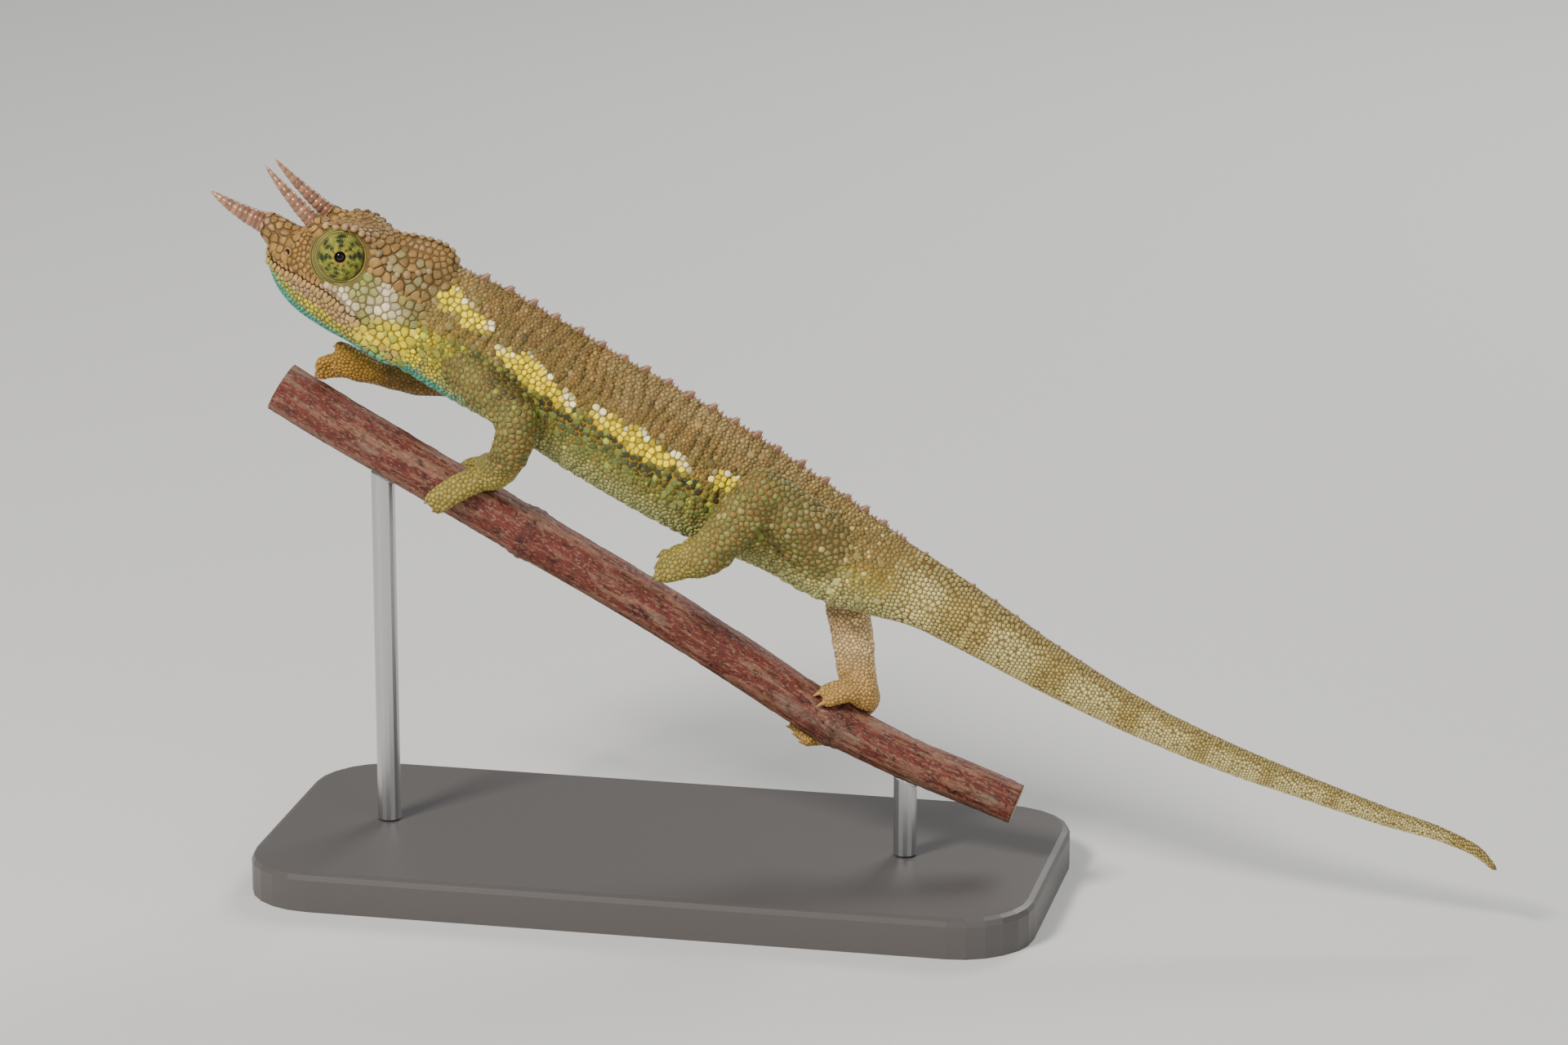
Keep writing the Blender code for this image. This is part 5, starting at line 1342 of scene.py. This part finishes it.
hornyTones = arraysOf({"paleClaw": (0.52, 0.31, 0.09), "claw": (0.22, 0.16, 0.08),
                       "spineFoot": (0.22, 0.10, 0.045), "spine": (0.38, 0.21, 0.12),
                       "whiteTip": (0.85, 0.80, 0.72)})
coneTree = bentCones()
points, faces, spot, which = grow("clawRoots", coneTree, claws, clawSizes, clawFinish)
pale = np.array([row[5] for row in claws])[which][:, None]
tint = np.where(pale, hornyTones["paleClaw"], hornyTones["claw"]) * (0.75 + 0.6 * spot[:, 2:])
clawPiece = makePiece("claws", points, faces, clawFinish, tint)
points, faces, spot, which = grow("spineRoots", coneTree, spines, spineSizes, spineFinish)
share = spot[:, 2:]
rise = smoothstep(0.2, 1.0, share)
tint = hornyTones["spineFoot"] * (1 - rise) + hornyTones["spine"] * rise
whiteTip = (share > 0.86) & np.array([row[5] for row in spines])[which][:, None]
tint = np.where(whiteTip, hornyTones["whiteTip"], tint)
turn = np.arctan2(spot[:, 1], spot[:, 0])
patch = np.column_stack([np.cos(turn), np.sin(turn)]) * scaleSizes["patch"] * (1 - 0.8 * share)
spineUv = cornerUv[np.array([row[6] for row in spines])[which]] + patch
spinePiece = makePiece("spines", points, faces, spineFinish, tint, spineUv[cornersOf(faces)])
print("claws", len(claws), "spines", len(spines))

# the branch: bark with streaks along it, leaf scars and cut ends
count = int(branchRun[-1] / branch["step"])
sides = branch["sides"]
along = np.linspace(0, branchRun[-1], count)
rows = through(branchRun, branchRows, along)
run = unit(np.gradient(rows[:, :2], axis=0))
far, turn = np.meshgrid(along, anglesOf(sides) / math.tau, indexing="ij")
streak = valueNoise(far / 9, turn * 22, 1, 22) * 0.6 + valueNoise(far / 3.5, turn * 44, 2, 44) * 0.4
rough = valueNoise(far / 1.1, turn * 30, 3, 30) * 0.5 + valueNoise(far / 0.55, turn * 60, 4, 60) * 0.5
thread = valueNoise(far / 2.4, turn * 70, 7, 70) * 0.5 + valueNoise(far / 5.0, turn * 110, 8, 110) * 0.5
under = smoothstep(0.30, 0.40, turn) * smoothstep(0.85, 0.7, turn)
under = np.maximum(under, smoothstep(0.045, 0.0, turn) * 0.7)
peel = np.maximum(smoothstep(0.60, 0.72, streak + 0.12 * rough + 0.14 * under) * 0.8,
                  smoothstep(0.62, 0.74, thread + 0.13 * under) * 0.8)
swell = sum(size * np.exp(-(((far - knot) / branch["scarReach"]) ** 2)) for knot, size in branch["scars"])
wrinkle = sum(0.10 * np.sin((far - knot) * 4.2 + np.sin(turn * math.tau * 3))
              * np.exp(-(((far - knot) / 2.6) ** 2)) for knot, _ in branch["scars"])
bumps = branch["relief"] * (0.9 * peel + 0.5 * (rough - 0.5))
reach = rows[:, 2:3] + swell + wrinkle - branch["under"] + bumps
up = np.column_stack([-run[:, 1], np.zeros(count), run[:, 0]])
middle = np.column_stack([rows[:, 0], np.zeros(count), rows[:, 1]])
barkPoints = (middle[:, None, :] + up[:, None, :] * (reach * np.cos(turn * math.tau))[:, :, None]
              - np.array((0, 1, 0)) * (reach * np.sin(turn * math.tau))[:, :, None]).reshape(-1, 3)
barkTones = arraysOf({"red": (0.150, 0.028, 0.018), "dark": (0.045, 0.014, 0.010), "peel": (0.30, 0.17, 0.10),
                      "grey": (0.26, 0.19, 0.14), "wood": (0.55, 0.38, 0.20)})
blotch = valueNoise(far / 6, turn * 8, 5, 8).ravel()
speck = valueNoise(far / 0.7, turn * 48, 6, 48).ravel()
barkColours = blend(barkTones["red"],
                    (smoothstep(0.45, 0.2, rough.ravel()) * 0.6, barkTones["dark"]),
                    (peel.ravel() * (0.5 + 0.4 * blotch), barkTones["peel"]),
                    (smoothstep(0.72, 0.9, blotch) * 0.5, barkTones["grey"]),
                    (smoothstep(0.83, 0.9, speck) * 0.85, barkTones["dark"] * 0.4),
                    (smoothstep(0.15, 0.5, swell.ravel()) * 0.5, barkTones["dark"]))
bark = Finish("bark", Roughness=0.6, Specular_IOR_Level=0.4)
barkPaint = bark.node("ShaderNodeAttribute", {"attribute_name": "paint"})
alongBranch = (0, math.radians(branch["slope"]), 0)
fibre = bark.noise(2.2, 6, bark.place((1, 4, 4), alongBranch), 0.6)
fibreTones = bark.ramp(fibre, [(0.32, (0.55, 0.5, 0.5)), (0.68, (1.35, 1.3, 1.25))])
barkColour = bark.mix(0.8, barkPaint, fibreTones, "MULTIPLY")
fleck = bark.ramp(bark.noise(0.75, 5, bark.place((1, 2.4, 2.4), alongBranch), 0.65),
                  [(0.54, (0, 0, 0)), (0.60, (1, 1, 1))])
bark.feed("Base Color", bark.mix(fleck * 0.55, barkColour, (0.36, 0.21, 0.13)))
bark.relief(fibre + bark.noise(0.5, 3) * 0.5, 0.25, 0.8)
barkFaces = facingOut(barkPoints, tubeFaces(count, sides))
barkPiece = makePiece("branch", barkPoints, barkFaces, bark.material, barkColours)
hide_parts("perch")
wood = painted("cut wood", 0.3, 0.02, Roughness=0.7, Specular_IOR_Level=0.3)
ends = []
sides = branch["endSides"]
for end, inward in ((0, 1), (-1, -2)):
    out = unit(middle[end] - middle[inward])
    wide = float(rows[end, 2]) - branch["under"]
    profile = [(wide * 0.95, -0.3), (wide * 0.95, 0.03)]
    profile += [(wide * share, 0.05 + 0.02 * (k % 2)) for k, share in enumerate(np.linspace(0.90, 0.12, 14))]
    profile += [(0.02, 0.02)]
    disc, turns = turned(profile, middle[end], out, sides)
    radii = np.repeat([r / wide for r, _ in profile], sides)
    ringTone = 0.80 + 0.22 * np.sin(radii * 34 + 0.8 * np.sin(np.tile(turns, len(profile)) * 3))
    tint = blend(barkTones["wood"] * ringTone[:, None],
                 (smoothstep(0.88, 0.95, radii), barkTones["dark"]),
                 (smoothstep(0.16, 0.06, radii), barkTones["dark"] * 2))
    disc = disc.reshape(-1, 3)
    ends.append((disc, facingOut(disc, tubeFaces(len(profile), sides)), tint))
endPiece = makeJoined("cut_ends", ends, wood)
print("branch:", len(barkPiece.data.polygons), "faces")

# the stand
standFinish = {"base": Finish("base", Base_Color=(0.10, 0.09, 0.085, 1), Roughness=0.45),
               "rod": Finish("rod", Base_Color=(0.55, 0.55, 0.56, 1), Metallic=1.0, Roughness=0.32)}
standFinish["base"].relief(standFinish["base"].noise(0.8, 2), 0.02, 0.4)
rodGrain = standFinish["rod"].place((1, 1, 0.05))
standFinish["rod"].relief(standFinish["rod"].noise(0.15, 2, rodGrain), 0.01, 0.3)
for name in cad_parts:
    if name.startswith("stand_"):
        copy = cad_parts[name].copy()
        copy.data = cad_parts[name].data.copy()
        copy.name = name.replace("stand_", "display_")
        bpy.context.scene.collection.objects.link(copy)
        copy.data.transform(copy.matrix_world)
        copy.parent = None
        copy.matrix_world.identity()
        copy.data.materials.clear()
        kind = "base" if name == "stand_base" else "rod"
        copy.data.materials.append(standFinish[kind].material)
        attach(copy, "root")
        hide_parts(name)

# floor, light and camera
floorMesh = bpy.data.meshes.new("floor")
reachOut = 6.0
floorMesh.from_pydata([(-reachOut, -reachOut, 0), (reachOut, -reachOut, 0), (reachOut, reachOut, 0),
                       (-reachOut, reachOut, 0)], [], [(0, 1, 2, 3)])
floorObject = addObject("floor", floorMesh)
floorFinish = Finish("floor", Base_Color=(0.80, 0.79, 0.77, 1), Roughness=0.8)
floorMesh.materials.append(floorFinish.material)
world = bpy.data.worlds.new("studio")
bpy.context.scene.world = world
world.use_nodes = True
sky = world.node_tree.nodes["Background"]
sky.inputs[0].default_value, sky.inputs[1].default_value = (0.86, 0.89, 0.92, 1), 0.34
# place in metres, size, power and colour
lamps = {"key": ((-0.40, -0.60, 0.75), 0.22, 9.5, (1.0, 0.97, 0.92)),
         "fill": ((0.8, -0.7, 0.35), 0.6, 2.4, (0.92, 0.96, 1.0)),
         "rim": ((0.25, 0.8, 0.7), 0.4, 5.0, (1, 1, 1))}
lampTarget = Vector((0, 0, 0.06))
for name, (place, size, power, colour) in lamps.items():
    light = bpy.data.lights.new(name, "AREA")
    light.size, light.energy, light.color = size, power, colour
    lampObject = addObject(name, light)
    lampObject.location = Vector(place)
    lampObject.rotation_euler = (lampTarget - Vector(place)).to_track_quat("-Z", "Y").to_euler()

view = {"azimuth": 12, "elevation": 16, "distance": 900.0, "pixel": 0.130, "pixels": 1920, "sensor": 36}
camera = bpy.data.cameras.new("camera")
cameraObject = addObject("camera", camera)
azimuth, elevation = math.radians(view["azimuth"]), math.radians(view["elevation"])
toward = np.array([math.sin(azimuth) * math.cos(elevation), -math.cos(azimuth) * math.cos(elevation),
                   math.sin(elevation)])
cameraObject.location = Vector(toward * view["distance"] * mm + origin)
cameraObject.rotation_euler = Vector(-toward).to_track_quat("-Z", "Y").to_euler()
camera.sensor_width = view["sensor"]
camera.lens = view["sensor"] * view["distance"] / (view["pixels"] * view["pixel"])
camera.clip_start, camera.clip_end = 0.05, 20
bpy.context.scene.camera = cameraObject
